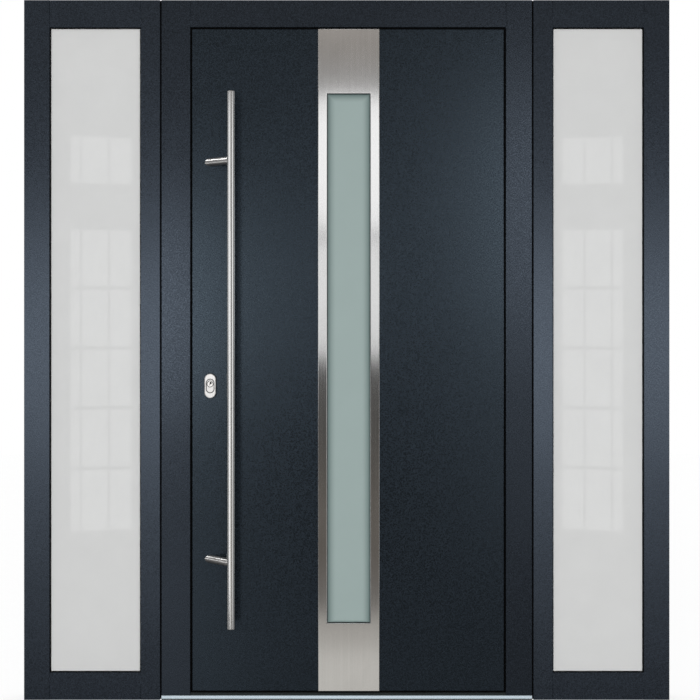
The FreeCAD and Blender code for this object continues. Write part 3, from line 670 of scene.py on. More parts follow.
    def build_surroundings(self) -> None:
        """White behind the object; a dim studio in front of it, darker below eye level."""
        facing = [(0.0, 0.08, 1.0), (0.345, 0.19, 0.97), (0.366, 0.20, 0.97), (0.3846, 0.20, 0.96),
                  (0.392, 0.20, 0.93), (0.3996, 0.20, 0.88), (0.407, 0.20, 0.82), (0.415, 0.15, 0.77),
                  (0.43, 0.13, 0.75), (0.446, 0.08, 0.80), (0.4624, 0.055, 0.90), (0.478, 0.06, 1.0),
                  (0.492, 0.20, 1.0), (0.569, 0.34, 1.0), (0.572, 0.46, 1.0), (0.58, 0.41, 0.86),
                  (0.593, 0.39, 0.83), (0.62, 0.28, 0.83), (1.0, 0.15, 1.03)]
        beside = [(0.0, 0.08, 1.0), (0.34, 0.20, 1.0), (0.40, 0.30, 1.0), (0.45, 0.35, 1.0), (0.51, 0.38, 1.0),
                  (0.55, 0.36, 1.0), (0.59, 0.30, 1.0), (0.66, 0.18, 1.0), (1.0, 0.15, 1.0)]
        world = bpy.data.worlds.new("studio")
        bpy.context.scene.world = world
        tree = ShaderTree(world)
        output = tree.start_from("ShaderNodeOutputWorld")
        way = tree.parts(tree.add("ShaderNodeTexCoord").outputs["Generated"])
        rise = tree.span(way["Z"], 0.0, 1.0, -1.0, 1.0)
        turn = tree.span(tree.math("ABSOLUTE", way["X"]), 0.0, 1.0, *self.beside_from)
        front = tree.tint(turn, tree.ramp(rise, facing), tree.ramp(rise, beside))
        around = tree.tint(tree.span(way["Y"], 0.0, 1.0, *self.behind_from), front, self.behind)
        seen = tree.add("ShaderNodeLightPath").outputs["Is Camera Ray"]
        background = tree.add("ShaderNodeBackground", {"Color": tree.tint(seen, around, WHITE)})
        tree.feed(output, {"Surface": background.outputs["Background"]})


def node_box(node: str) -> tuple[float, float, float, float, float, float]:
    """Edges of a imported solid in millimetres, as x0, x1, y0, y1, z0, z1."""
    low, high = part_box(node)
    return tuple(value / MM for pair in zip(low, high) for value in pair)


def grow(rect: Rect, by: float) -> Rect:
    """The upright rectangle x0, x1, z0, z1 made larger on every side."""
    return (rect[0] - by, rect[1] + by, rect[2] - by, rect[3] + by)


def blend_rects(first: Rect, second: Rect, share: float) -> Rect:
    """Rectangle between two others."""
    return tuple(a + (b - a) * share for a, b in zip(first, second))


def quarter(steps: int) -> list[tuple[float, float]]:
    """Sine and one minus cosine of angles up to a right angle, for rounded edges."""
    angles = [math.pi / 2 * step / steps for step in range(steps + 1)]
    return [(math.sin(angle), 1.0 - math.cos(angle)) for angle in angles]


def oval(width: float, height: float, count: int = 96) -> Outline:
    """Upright outline with round ends about the middle.

    Args:
        width: Its width.
        height: Its height; equal to the width it is a circle.
        count: How many points it has.

    Returns:
        Its points.
    """
    radius, rise = width / 2, (height - width) / 2
    points = []
    for index in range(count):
        angle = 2 * math.pi * (index + 0.5) / count
        lift = rise if math.sin(angle) > 0 else -rise
        points.append((radius * math.cos(angle), radius * math.sin(angle) + lift))
    return points


def rounded_edge(rect: Rect, front: float, edge: float, steps: int) -> list[tuple[Rect, float]]:
    """Rounded edge of an upright plate, from its side to its front face.

    Args:
        rect: The plate's outline.
        front: Depth of the front face.
        edge: Radius of the edge.
        steps: Number of steps.

    Returns:
        Rectangles and their depths.
    """
    return [(grow(rect, -edge * cosine), front + edge * (1.0 - sine)) for sine, cosine in quarter(steps)]


class Skin:
    """Points and faces of one piece, in millimetres, before it becomes an object."""

    def __init__(self) -> None:
        """Starts with nothing."""
        self.points: list[Point] = []
        self.faces: list[tuple[int, ...]] = []

    def ring(self, points: list[Point]) -> list[int]:
        """Adds points and returns their numbers."""
        start = len(self.points)
        self.points.extend(points)
        return list(range(start, len(self.points)))

    def bridge(self, first: list[int], second: list[int]) -> None:
        """Joins two rings of equal length with faces; a ring of one point is a pole."""
        count = max(len(first), len(second))
        for index in range(count):
            after = (index + 1) % count
            corners = [first[index % len(first)], first[after % len(first)],
                       second[after % len(second)], second[index % len(second)]]
            self.faces.append(tuple(dict.fromkeys(corners)))

    def loft(self, rings: list[list[Point]], closed: bool = False) -> None:
        """Joins rings in order; a closed loft ends at its start, an open one is capped.

        Args:
            rings: Points of each ring.
            closed: Whether the last ring joins the first.
        """
        numbers = [self.ring(points) for points in rings]
        for first, second in zip(numbers, numbers[1:]):
            self.bridge(first, second)
        if closed:
            self.bridge(numbers[-1], numbers[0])
            return
        for end in (numbers[0], numbers[-1]):
            if len(end) > 2:
                self.faces.append(tuple(end))

    def frame(self, stations: list[tuple[Rect, float]], closed: bool = True) -> None:
        """Rectangular ring with mitred corners, as rectangles and their depths; a pane if not closed."""
        self.loft([[(x0, y, z0), (x1, y, z0), (x1, y, z1), (x0, y, z1)]
                   for (x0, x1, z0, z1), y in stations], closed)

    def pane(self, rect: Rect, front: float, back: float, edge: float = 0.8) -> None:
        """Flat pane with ground edges."""
        face = grow(rect, -edge)
        self.frame([(face, front), (rect, front + edge), (rect, back - edge), (face, back)], False)

    def lathe(self, stations: list[tuple[float, float]], centre: Point, along: Point = UP,
              count: int = 96, closed: bool = False) -> None:
        """Turned shape.

        Args:
            stations: Radius and distance along the axis of each ring.
            centre: Where the distance is nought.
            along: Direction of the axis.
            count: Points in a ring.
            closed: Whether the last station joins the first, for a bored shape.
        """
        axis = Vector(along).normalized()
        first = axis.orthogonal().normalized()
        second = axis.cross(first)
        rings = []
        for radius, distance in stations:
            middle = Vector(centre) + axis * distance
            if radius <= 0:
                rings.append([tuple(middle)])
                continue
            turns = [2 * math.pi * index / count for index in range(count)]
            rings.append([tuple(middle + (first * math.cos(turn) + second * math.sin(turn)) * radius)
                          for turn in turns])
        self.loft(rings, closed)

    def prism(self, outline: Outline, low: float, high: float) -> None:
        """Upright prism over an outline of x and y."""
        self.loft([[(x, y, z) for x, y in outline] for z in (low, high)])

    def block(self, x0: float, x1: float, y0: float, y1: float, z0: float, z1: float) -> None:
        """Rectangular block, for a piece whose edges are rounded later."""
        self.prism([(x0, y0), (x1, y0), (x1, y1), (x0, y1)], z0, z1)

    def ovals(self, centre_x: float, stations: list[Station], closed: bool = True) -> None:
        """Outlines in planes parallel to the leaf, as outline, height of the middle and depth."""
        self.loft([[(centre_x + x, y, centre_z + z) for x, z in outline] for outline, centre_z, y in stations],
                  closed)

    def mesh(self, name: str) -> bpy.types.Mesh:
        """The piece's mesh in metres, its doubles merged and its faces outwards."""
        mesh = bpy.data.meshes.new(name)
        mesh.from_pydata([tuple(value * MM for value in point) for point in self.points], [], self.faces)
        work = bmesh.new()
        work.from_mesh(mesh)
        bmesh.ops.remove_doubles(work, verts=work.verts, dist=1e-7)
        bmesh.ops.recalc_face_normals(work, faces=work.faces)
        work.to_mesh(mesh)
        work.free()
        return mesh


def add_bevel(item: bpy.types.Object, width: float, steps: int, angle: float) -> bpy.types.Modifier:
    """Rounds an object's edges that are sharper than an angle.

    Args:
        item: The object.
        width: Width of the rounding in millimetres.
        steps: Number of steps.
        angle: The angle in degrees.

    Returns:
        The modifier.
    """
    bevel = item.modifiers.new("edges", "BEVEL")
    bevel.width = width * MM
    bevel.segments = steps
    bevel.limit_method = "ANGLE"
    bevel.angle_limit = math.radians(angle)
    return bevel


def bake_modifiers(item: bpy.types.Object) -> None:
    """Puts the mesh that an object's modifiers make in place of its own."""
    graph = bpy.context.evaluated_depsgraph_get()
    shaped = bpy.data.meshes.new_from_object(item.evaluated_get(graph))
    item.modifiers.clear()
    item.data = shaped


@dataclass
class Piece:
    """One finished object of the door and the solids that it stands for."""

    name: str
    body: str
    slot: str
    finish: Finish
    stands_for: tuple[str, ...] = ()
    edge: float = 0.0
    edge_steps: int = 2
    smooth: float = 34.0

    def finish_skin(self, skin: Skin, cutter: Skin | None = None) -> bpy.types.Object:
        """Makes the object from its skin.

        Args:
            skin: Its shape.
            cutter: A shape that is cut out of it.

        Returns:
            The object, riding on its body.
        """
        item = new_object(self.name, skin.mesh(self.name))
        tool = None
        if cutter is not None:
            tool = new_object(self.name + "_cut", cutter.mesh(self.name + "_cut"))
            cut = item.modifiers.new("cut", "BOOLEAN")
            cut.operation = "DIFFERENCE"
            cut.solver = "EXACT"
            cut.object = tool
        if self.edge > 0:
            add_bevel(item, self.edge, self.edge_steps, 40.0)
        if item.modifiers:
            bake_modifiers(item)
        if tool is not None:
            bpy.data.objects.remove(tool)
        return self.settle(item)

    def settle(self, item: bpy.types.Object) -> bpy.types.Object:
        """Smooths, dresses and fastens an object.

        Args:
            item: The object.

        Returns:
            The same object.
        """
        item.data.materials.clear()
        item.data.materials.append(self.finish.material())
        if self.smooth > 0:
            item.data.shade_smooth()
            item.data.set_sharp_from_angle(angle=math.radians(self.smooth))
        self.finish.lit_by.receivers().objects.link(item)
        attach(item, self.body)
        if self.stands_for:
            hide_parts(*self.stands_for)
        log.info("built %s: %d faces on %s", item.name, len(item.data.polygons), self.body)
        return item


@dataclass
class SoftenedSolid:
    """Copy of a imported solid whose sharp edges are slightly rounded."""

    node: str
    body: str
    slot: str
    finish: Finish
    edge: float = 1.2
    flat_angle: float = 0.5
    sharp_angle: float = 30.0
    edge_angle: float = 50.0

    def build(self) -> bpy.types.Object:
        """Copies the solid, merges its flat faces and rounds its edges."""
        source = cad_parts[self.node]
        mesh = source.data.copy()
        mesh.transform(source.matrix_world)
        work = bmesh.new()
        work.from_mesh(mesh)
        bmesh.ops.remove_doubles(work, verts=work.verts, dist=1e-6)
        bmesh.ops.dissolve_limit(work, angle_limit=math.radians(self.flat_angle), verts=work.verts,
                                 edges=work.edges)
        work.to_mesh(mesh)
        work.free()
        mesh.shade_smooth()
        mesh.set_sharp_from_angle(angle=math.radians(self.sharp_angle))
        item = new_object(self.node + "_softened", mesh)
        add_bevel(item, self.edge, 3, self.edge_angle).harden_normals = True
        bake_modifiers(item)
        return Piece(item.name, self.body, self.slot, self.finish, (self.node,), smooth=0.0).settle(item)


@dataclass
class ScrewPlace:
    """Where a screw head sits and which way it faces."""

    place: Point
    facing: Point


@dataclass
class Screws:
    """Countersunk screws with a hexagon socket, set by a node tree, one mesh for each body."""

    name: str
    body: str
    slot: str
    finish: Finish
    head_radius: float = 4.2
    head_height: float = 1.6
    socket_radius: float = 2.3
    socket_depth: float = 1.1
    seed: int = 7
    head_ease: float = 0.86
    head_corners: int = 40
    socket_corners: int = 6

    def tree(self) -> bpy.types.NodeTree:
        """Node tree that sets a screw head on every point."""
        tree = bpy.data.node_groups.new(self.name + "_setter", "GeometryNodeTree")
        kinds = {"Geometry": "Geometry", "Head Radius": "Float", "Head Height": "Float",
                 "Socket Radius": "Float", "Socket Depth": "Float", "Seed": "Int", "Finish": "Material"}
        for title, kind in kinds.items():
            tree.interface.new_socket(title, in_out="INPUT", socket_type="NodeSocket" + kind)
        tree.interface.new_socket("Geometry", in_out="OUTPUT", socket_type="NodeSocketGeometry")
        add = Nodes(tree).add
        source = add("NodeGroupInput").outputs
        top = add("ShaderNodeMath", {0: source["Head Radius"], 1: self.head_ease}, operation="MULTIPLY")
        head = add("GeometryNodeMeshCone", {
            "Vertices": self.head_corners, "Radius Top": top.outputs[0],
            "Radius Bottom": source["Head Radius"], "Depth": source["Head Height"]})
        deep = add("ShaderNodeMath", {0: source["Socket Depth"], 1: 2.0}, operation="MULTIPLY")
        socket = add("GeometryNodeMeshCylinder", {
            "Vertices": self.socket_corners, "Radius": source["Socket Radius"], "Depth": deep.outputs[0]})
        lift = add("ShaderNodeCombineXYZ", {"Z": source["Head Height"]})
        raised = add("GeometryNodeTransform", {
            "Geometry": socket.outputs["Mesh"], "Translation": lift.outputs[0]})
        bored = add("GeometryNodeMeshBoolean", {
            "Mesh 1": head.outputs["Mesh"], "Mesh 2": raised.outputs["Geometry"]}, operation="DIFFERENCE")
        facing = add("GeometryNodeInputNamedAttribute", {"Name": "facing"}, data_type="FLOAT_VECTOR")
        aim = add("FunctionNodeAlignRotationToVector", {"Vector": facing.outputs["Attribute"]}, axis="Z")
        chance = add("FunctionNodeRandomValue", {2: 0.0, 3: math.pi / 3, "Seed": source["Seed"]},
                     data_type="FLOAT")
        spin = add("FunctionNodeAxisAngleToRotation", {"Axis": UP, "Angle": chance.outputs[1]})
        turned = add("FunctionNodeRotateRotation", {"Rotation": aim.outputs[0], "Rotate By": spin.outputs[0]},
                     rotation_space="LOCAL")
        set_out = add("GeometryNodeInstanceOnPoints", {
            "Points": source["Geometry"], "Instance": bored.outputs["Mesh"], "Rotation": turned.outputs[0]})
        real = add("GeometryNodeRealizeInstances", {"Geometry": set_out.outputs["Instances"]})
        painted = add("GeometryNodeSetMaterial", {
            "Geometry": real.outputs["Geometry"], "Material": source["Finish"]})
        add("NodeGroupOutput", {"Geometry": painted.outputs["Geometry"]})
        return tree

    def build(self, places: list[ScrewPlace]) -> bpy.types.Object:
        """Sets the screws.

        Args:
            places: Where they sit, in millimetres.

        Returns:
            One mesh of all of them.
        """
        points = bpy.data.meshes.new(self.name)
        points.from_pydata([tuple(value * MM for value in item.place) for item in places], [], [])
        facing = points.attributes.new("facing", "FLOAT_VECTOR", "POINT")
        for index, item in enumerate(places):
            facing.data[index].vector = item.facing
        holder = new_object(self.name, points)
        setter = holder.modifiers.new("setter", "NODES")
        setter.node_group = self.tree()
        values = {"Head Radius": self.head_radius * MM, "Head Height": self.head_height * MM,
                  "Socket Radius": self.socket_radius * MM, "Socket Depth": self.socket_depth * MM,
                  "Seed": self.seed, "Finish": self.finish.material()}
        for socket in setter.node_group.interface.items_tree:
            if socket.in_out == "INPUT" and socket.name in values:
                setter[socket.identifier] = values[socket.name]
        bake_modifiers(holder)
        return Piece(self.name, self.body, self.slot, self.finish, smooth=30.0).settle(holder)


@dataclass
class StainlessStrip:
    """Brushed strip over the leaf's full height, folded back into its tall window."""

    window: Rect
    edge_radius: float = 1.1
    fold_radius: float = 1.6
    fold_wall: float = 1.2
    fold_back: float = -34.5
    flat_start: float = 0.5

    def build(self) -> None:
        """Makes the strip with rounded edges and the folded window edge."""
        x0, x1, front, _, z0, z1 = node_box("stainless_strip")
        outer, inside = (x0, x1, z0, z1), grow(self.window, self.fold_wall)
        edge = min(self.edge_radius, (FACE - front) * 0.8)
        fold = self.fold_radius
        stations = [(outer, FACE), *rounded_edge(outer, front, edge, 5),
                    (grow(outer, -edge - self.flat_start), front),
                    (grow(self.window, fold + self.flat_start), front)]
        stations += [(grow(self.window, fold * (1.0 - sine)), front + fold * cosine)
                     for sine, cosine in quarter(6)]
        stations += [(self.window, self.fold_back), (inside, self.fold_back), (inside, FACE)]
        skin = Skin()
        skin.frame(stations)
        Piece("folded_strip", "leaf", "strip_steel", STRIP_STEEL, ("stainless_strip",)).finish_skin(skin)


@dataclass
class LeafSheet:
    """Outer sheet of the leaf, with its edge rounded all round."""

    window: Rect
    hole_play: float = 1.3
    thickness: float = 3.0
    edge_radius: float = 2.0
    flat_start: float = 0.6

    def build(self) -> None:
        """Makes the sheet round its window hole."""
        x0, x1, front, _, z0, z1 = node_box("leaf_outer_sheet")
        outer, hole = (x0, x1, z0, z1), grow(self.window, self.hole_play)
        edge, back = self.edge_radius, front + self.thickness
        stations = [(outer, back), *rounded_edge(outer, front, edge, 5),
                    (grow(outer, -edge - self.flat_start), front), (hole, front), (hole, back)]
        skin = Skin()
        skin.frame(stations)
        Piece("rounded_outer_sheet", "leaf", "leaf_paint", LEAF_PAINT, ("leaf_outer_sheet",)).finish_skin(skin)


@dataclass
class GlassUnit:
    """Insulating glass: a satin pane outside, clear panes behind it, and their spacers."""

    node: str
    body: str
    slot: str
    finish: Finish
    panes: tuple[float, ...] = (6.0, 4.0, 4.0)
    spacer_inset: float = 1.5
    spacer_height: float = 7.0
    spacer_bulge: float = 0.6
    spacer_ease: float = 1.2

    def build(self) -> None:
        """Makes the panes and the spacers between them."""
        x0, x1, front, back, z0, z1 = node_box(self.node)
        rect = (x0, x1, z0, z1)
        gap = (back - front - sum(self.panes)) / (len(self.panes) - 1)
        satin, clear, spacers = Skin(), Skin(), Skin()
        satin.pane(rect, front, front + self.panes[0])
        depth = front + self.panes[0]
        for thickness in self.panes[1:]:
            outside, inside = grow(rect, -self.spacer_inset), grow(rect, -self.spacer_inset - self.spacer_height)
            bulge, ease = grow(inside, -self.spacer_bulge), self.spacer_ease
            spacers.frame([(outside, depth), (inside, depth), (bulge, depth + ease),
                           (bulge, depth + gap - ease), (inside, depth + gap), (outside, depth + gap)])
            clear.pane(rect, depth + gap, depth + gap + thickness)
            depth += gap + thickness
        Piece(self.node + "_satin_pane", self.body, self.slot, self.finish, (self.node,)).finish_skin(satin)
        Piece(self.node + "_clear_panes", self.body, self.slot, CLEAR_GLASS).finish_skin(clear)
        Piece(self.node + "_spacers", self.body, "dark_plastic", SPACER).finish_skin(spacers)


@dataclass
class Gasket:
    """Rubber gaskets on both faces of a glass unit, with a rounded sealing nose."""

    node: str
    body: str
    opening: Rect
    foot: float
    shows: Rect
    nose_front: float
    foot_front: float
    glass_front: float
    glass_back: float
    inner_back: float
    nose_radius: float = 1.4

    def build(self) -> None:
        """Makes the outer and the inner gasket."""
        skin = Skin()
        foot = grow(self.opening, self.foot)
        tip = tuple(edge + show * way for edge, show, way in zip(self.opening, self.shows, (1, -1, 1, -1)))
        round_in = self.nose_radius
        stations = [(foot, self.foot_front)]
        if self.nose_front < self.foot_front:
            stations += [(self.opening, self.foot_front), (self.opening, self.nose_front + round_in)]
            stations += rounded_edge(self.opening, self.nose_front, round_in, 3)[1:]
        stations += [(grow(tip, round_in * (1.0 - sine)), self.nose_front + round_in * cosine)
                     for sine, cosine in quarter(4)]
        stations += [(tip, self.glass_front), (foot, self.glass_front)]
        skin.frame(stations)
        inner = [(foot, self.glass_back), (tip, self.glass_back)]
        inner += [(grow(tip, round_in * cosine), self.inner_back - round_in * (1.0 - sine))
                  for sine, cosine in quarter(4)]
        inner += [(foot, self.inner_back)]
        skin.frame(inner)
        Piece(self.node + "_rounded", self.body, "seal_rubber", RUBBER, (self.node,)).finish_skin(skin)


@dataclass
class BulbSeal:
    """Bulb seal behind the stop, all round the leaf."""

    side: float = 12.0
    low_side: float = 11.5
    fullness: float = 0.7
    steps: int = 14

    def build(self) -> None:
        """Makes the bulb as a rounded profile whose lip shows in the gap."""
        x0, x1, foot, nose, z0, z1 = node_box("frame_seal")
        side = self.side
        outer, inner = (x0, x1, z0, z1), (x0 + side, x1 - side, z0 + self.low_side, z1 - side)
        rings = []
        for step in range(self.steps + 1):
            angle = math.pi * step / self.steps
            share = 0.5 - 0.5 * math.cos(angle)
            rings.append((blend_rects(outer, inner, share),
                          foot + (nose - foot) * math.sin(angle) ** self.fullness))
        skin = Skin()
        skin.frame(rings)
        Piece("bulb_seal", "frame", "seal_rubber", RUBBER, ("frame_seal",)).finish_skin(skin)


@dataclass
class PullBar:
    """Round pull bar on two supports that stand at 45 degrees."""

    support_radius: float = 12.0
    support_heights: tuple[float, float] = (423.3, 1613.3)
    lock_x: float = -408.75
    end_radius: float = 0.8
    rings: int = 24
    post_rings: tuple[float, ...] = (0.0, 0.03, 0.5, 0.97, 1.0)
    post_corners: int = 72

    def build(self) -> None:
        """Makes the bar and its supports."""
        x0, x1, y0, _, z0, z1 = node_box("pull_bar")
        radius, top = (x1 - x0) / 2, z1 - z0
        ease = self.end_radius
        end = [(0.0, 0.0), (radius - 3.0, 0.0)]
        end += [(radius - ease * (1.0 - sine), ease * cosine) for sine, cosine in quarter(3)]
        end += [(radius, 2.0)]
        middle = [(radius, top * step / self.rings) for step in range(1, self.rings)]
        stations = end + middle + [(across, top - along) for across, along in reversed(end)]
        bar = Skin()
        bar.lathe(stations, (x0 + radius, y0 + radius, z0))
        Piece("smooth_pull_bar", "leaf", "bar_steel", BAR_STEEL, ("pull_bar",)).finish_skin(bar)
        posts = Skin()
        for height in self.support_heights:
            self.post(posts, (x0 + radius, y0 + radius), radius, height)
        Piece("polished_bar_supports", "leaf", "bar_steel", POST_STEEL, ("bar_supports",)).finish_skin(posts)

    def post(self, skin: Skin, bar: tuple[float, float], bar_radius: float, height: float) -> None:
        """One support, cut flat on the leaf and saddled on the bar.

        Args:
            skin: The skin that it is added to.
            bar: The bar's axis as x and y.
            bar_radius: The bar's radius.
            height: The support's height.
        """
        axis = Vector((bar[0] - self.lock_x, bar[1] - FACE, 0.0))
        reach = axis.length
        axis.normalize()
        beside = Vector((-axis.y, axis.x, 0.0))
        rings = []
        for share in self.post_rings:
            points = []
            for index in range(self.post_corners):
                turn = 2 * math.pi * index / self.post_corners
                off, rise = self.support_radius * math.cos(turn), self.support_radius * math.sin(turn)
                start = -off * beside.y / axis.y
                end = reach - math.sqrt(bar_radius ** 2 - off ** 2)
                place = Vector((self.lock_x, FACE, height)) + beside * off + axis * (start + (end - start) * share)
                points.append((place.x, place.y, place.z + rise))
            rings.append(points)
        skin.loft(rings)


@dataclass
class LockSet:
    """Outer rosette, guard and cylinder, the inner rose and the inner lever.

    Plates are given by width, height and thickness.
    """

    x: float = -408.75
    rosette_z: float = 942.75
    plug_z: float = 948.75
    lever_z: float = 1040.75
    rosette: Point = (35.0, 74.6, 12.5)
    rose: Point = (32.0, 70.0, 8.0)
    guard: Point = (21.5, 39.0, 2.5)
    rim_round: float = 2.4
    hole: tuple[float, float] = (17.4, 33.4)
    hole_z: float = 940.75
    chamfer: float = 0.5
    guard_groove: float = 1.9
    plug_groove: float = 1.3
    plug_radius: float = 8.5
    # Dark rings of painted shade at the bottom of the grooves: their depths below the rosette's front and their
    # overlap.
    groove_shade_depths: tuple[float, float] = (0.8, 1.3)
    groove_shade_overlap: float = 0.1
    key_lean: float = 28.0
    key_depth: float = 12.0
    # Depths of a dark sheet of painted shade in the key slot.
    key_slot_shade_depths: tuple[float, float] = (2.4, 3.4)
    body_half: float = 5.0
    body_reach: tuple[float, float] = (24.5, 7.0)
    body_play: tuple[float, float] = (0.2, 0.4)
    body_edge: float = 4.0
    lever_radius: float = 9.5
    lever_bend: float = 18.0
    lever_axis_y: float = 93.5
    lever_length: float = 132.0
    lever_tip: float = 3.0
    bend_steps: int = 12
    lever_corners: int = 56
    collar: tuple[float, float] = (11.7, 3.0)

    def build(self) -> None:
        """Makes every piece of the lock that shows on the faces."""
        self.build_rosette()
        self.build_guard()
        self.build_cylinder()
        self.build_inner_rose()
        self.build_lever()

    def lock_piece(self, name: str, finish: Finish, skin: Skin, *nodes: str) -> None:
        """Makes a steel piece of the lock that stands for these solids."""
        Piece(name, "leaf", "lock_steel", finish, nodes).finish_skin(skin)

    def plate(self, size: Point, height: float, foot: float, out: int) -> list[Station]:
        """Side and rounded rim of an oval plate.

        Args:
            size: Its size.
            height: Height of its middle.
            foot: Depth of the face that it stands on.
            out: 1 on the inside of the leaf and -1 on the outside.

        Returns:
            The stations, from its foot to its front.
        """
        width, tall, thick = size
        stations = [(oval(width, tall), height, foot)]
        for sine, cosine in quarter(6):
            less = 2 * self.rim_round * cosine
            depth = foot + out * (thick - self.rim_round * (1.0 - sine))
            stations.append((oval(width - less, tall - less), height, depth))
        return stations

    def body_hole(self, more: float = 0.0) -> Outline:
        """Outline of the hole that the cylinder passes through."""
        return oval(self.hole[0] + more, self.hole[1] + more)

    def build_rosette(self) -> None:
        """Oval rosette with a rounded rim and the pocket of its guard."""
        front = FACE - self.rosette[2]
        width, height, thick = self.guard
        groove, chamfer = 2 * self.guard_groove, self.chamfer
        pocket = oval(width + groove, height + groove)
        rim = oval(width + groove + 2 * chamfer, height + groove + 2 * chamfer)
        skin = Skin()
        skin.ovals(self.x, [
            *self.plate(self.rosette, self.rosette_z, FACE, -1), (rim, self.rosette_z, front),
            (pocket, self.rosette_z, front + chamfer), (pocket, self.rosette_z, front + thick),
            (self.body_hole(), self.hole_z, front + thick), (self.body_hole(), self.hole_z, FACE)])
        self.lock_piece("rounded_rosette", LOCK_STEEL, skin, "lock_rosette")

    def build_guard(self) -> None:
        """Guard plate with a round hole for the plug, and dark rings of painted shade in the grooves and a dark
        sheet of painted shade in the key slot.
        """
        width, height, thick = self.guard
        front = FACE - self.rosette[2]
        inside = 2 * self.plug_radius
        across = inside + 2 * self.plug_groove
        plate, hole = oval(width, height), oval(across, across)
        skin = Skin()
        skin.ovals(self.x, [
            (plate, self.rosette_z, front + thick), (plate, self.rosette_z, front + 0.4),
            (oval(width - 0.8, height - 0.8), self.rosette_z, front),
            (oval(across + 0.6, across + 0.6), self.plug_z, front), (hole, self.plug_z, front + 0.5),
            (hole, self.plug_z, front + thick)])
        self.lock_piece("lock_guard_plate", GUARD_STEEL, skin, "lock_guard")
        # Dark rings in the grooves and a dark sheet in the key slot: painted shade of their depth.
        groove_shades = Skin()
        groove = 2 * self.guard_groove
        self.groove_shade_ring(groove_shades, self.rosette_z, (width, height), (width + groove, height + groove))
        self.groove_shade_ring(groove_shades, self.plug_z, (inside, inside), (across, across))
        key = self.keyway(self.key_lean)
        groove_shades.ovals(self.x, [(key, self.plug_z, front + depth) for depth in self.key_slot_shade_depths], False)
        Piece("lock_groove_shade_rings", "leaf", "dark_plastic", RUBBER).finish_skin(groove_shades)

    def groove_shade_ring(self, skin: Skin, height: float, inside: tuple[float, float],
              outside: tuple[float, float]) -> None:
        """Dark ring of painted shade at the bottom of a groove, between two ovals given by width and height."""
        front, over = FACE - self.rosette[2], self.groove_shade_overlap
        top, floor = (front + depth for depth in self.groove_shade_depths)
        inner, outer = oval(inside[0] - over, inside[1] - over), oval(outside[0] + over, outside[1] + over)
        skin.ovals(self.x, [(outer, height, floor), (outer, height, top), (inner, height, top),
                            (inner, height, floor)])

    def keyway(self, lean: float) -> Outline:
        """Profile of the key slot, leaning by an angle in degrees."""
        turn = math.radians(lean)
        profile = [(-1.0, -4.8), (1.0, -4.8), (1.0, -1.6), (0.5, -1.2), (0.5, -0.4), (3.2, 0.6), (3.2, 5.4),
                   (1.8, 6.6), (-1.8, 6.6), (-3.2, 5.4), (-3.2, 1.2), (-0.6, 0.4), (-0.6, -0.6), (-1.0, -1.0)]
        return [(x * math.cos(turn) + z * math.sin(turn), z * math.cos(turn) - x * math.sin(turn))
                for x, z in profile]

    def build_cylinder(self) -> None:
        """Cylinder body and plug, with a profiled key slot at each end."""
        front, back = FACE - self.rosette[2], BACK + self.rose[2]
        radius, length, chamfer = self.plug_radius, back - front, self.chamfer
        skin, slots, body = Skin(), Skin(), Skin()
        skin.lathe([(0.0, 0.0), (radius - chamfer, 0.0), (radius, chamfer), (radius, length - chamfer),
                    (radius - chamfer, length), (0.0, length)], (self.x, front, self.plug_z), DEEP, 72)
        for face_y, lean in ((front, self.key_lean), (back, -self.key_lean)):
            slots.ovals(self.x, [(self.keyway(lean), self.plug_z, face_y + depth)
                                 for depth in (-self.key_depth, self.key_depth)], False)
        Piece("cylinder_plug", "leaf", "lock_brass", LOCK_BRASS, ("lock_cylinder",)).finish_skin(skin, slots)
        body.block(self.x - self.body_half, self.x + self.body_half,
                   front + self.guard[2] + self.body_play[0], back - self.body_play[1],
                   self.plug_z - self.body_reach[0], self.plug_z - self.body_reach[1])
        Piece("cylinder_body", "leaf", "lock_brass", LOCK_BRASS, edge=self.body_edge,
              edge_steps=4).finish_skin(body)

    def build_inner_rose(self) -> None:
        """Oval rose round the cylinder on the inside."""
        front = BACK + self.rose[2]
        skin = Skin()
        skin.ovals(self.x, [
            *self.plate(self.rose, self.rosette_z, BACK, 1), (self.body_hole(0.8), self.hole_z, front),
            (self.body_hole(), self.hole_z, front - self.chamfer), (self.body_hole(), self.hole_z, BACK)])
        self.lock_piece("inner_rose", LOCK_STEEL, skin, "inner_cylinder_rose")

    def build_lever(self) -> None:
        """Inner lever: an oval rose, a collar, and a round handle bent into its grip."""
        front = BACK + self.rose[2]
        skin = Skin()
        skin.ovals(self.x, self.plate(self.rose, self.lever_z, BACK, 1), False)
        radius, bend, axis_y = self.lever_radius, self.lever_bend, self.lever_axis_y
        wide, deep = self.collar
        skin.lathe([(0.0, -0.5), (wide, -0.5), (wide, deep - 1.0), (wide - 1.0, deep), (0.0, deep)],
                   (self.x, front, self.lever_z), DEEP, 72)
        rings = [self.lever_ring(self.x, y, 0.0, radius) for y in (front, axis_y - bend - 1.0, axis_y - bend)]
        for step in range(1, self.bend_steps + 1):
            turn = math.pi / 2 * step / self.bend_steps
            rings.append(self.lever_ring(self.x + bend * (1.0 - math.cos(turn)),
                                         axis_y - bend + bend * math.sin(turn), turn, radius))
        end, tip = self.x + self.lever_length, self.lever_tip
        grip = [(self.x + bend + 1.0, radius), (end - tip - 1.0, radius)]
        grip += [(end - tip * cosine, radius - tip * (1.0 - sine)) for sine, cosine in reversed(quarter(5))]
        rings += [self.lever_ring(x, axis_y, math.pi / 2, size) for x, size in grip]
        skin.loft(rings)
        self.lock_piece("bent_inner_lever", LOCK_STEEL, skin, "inner_lever")

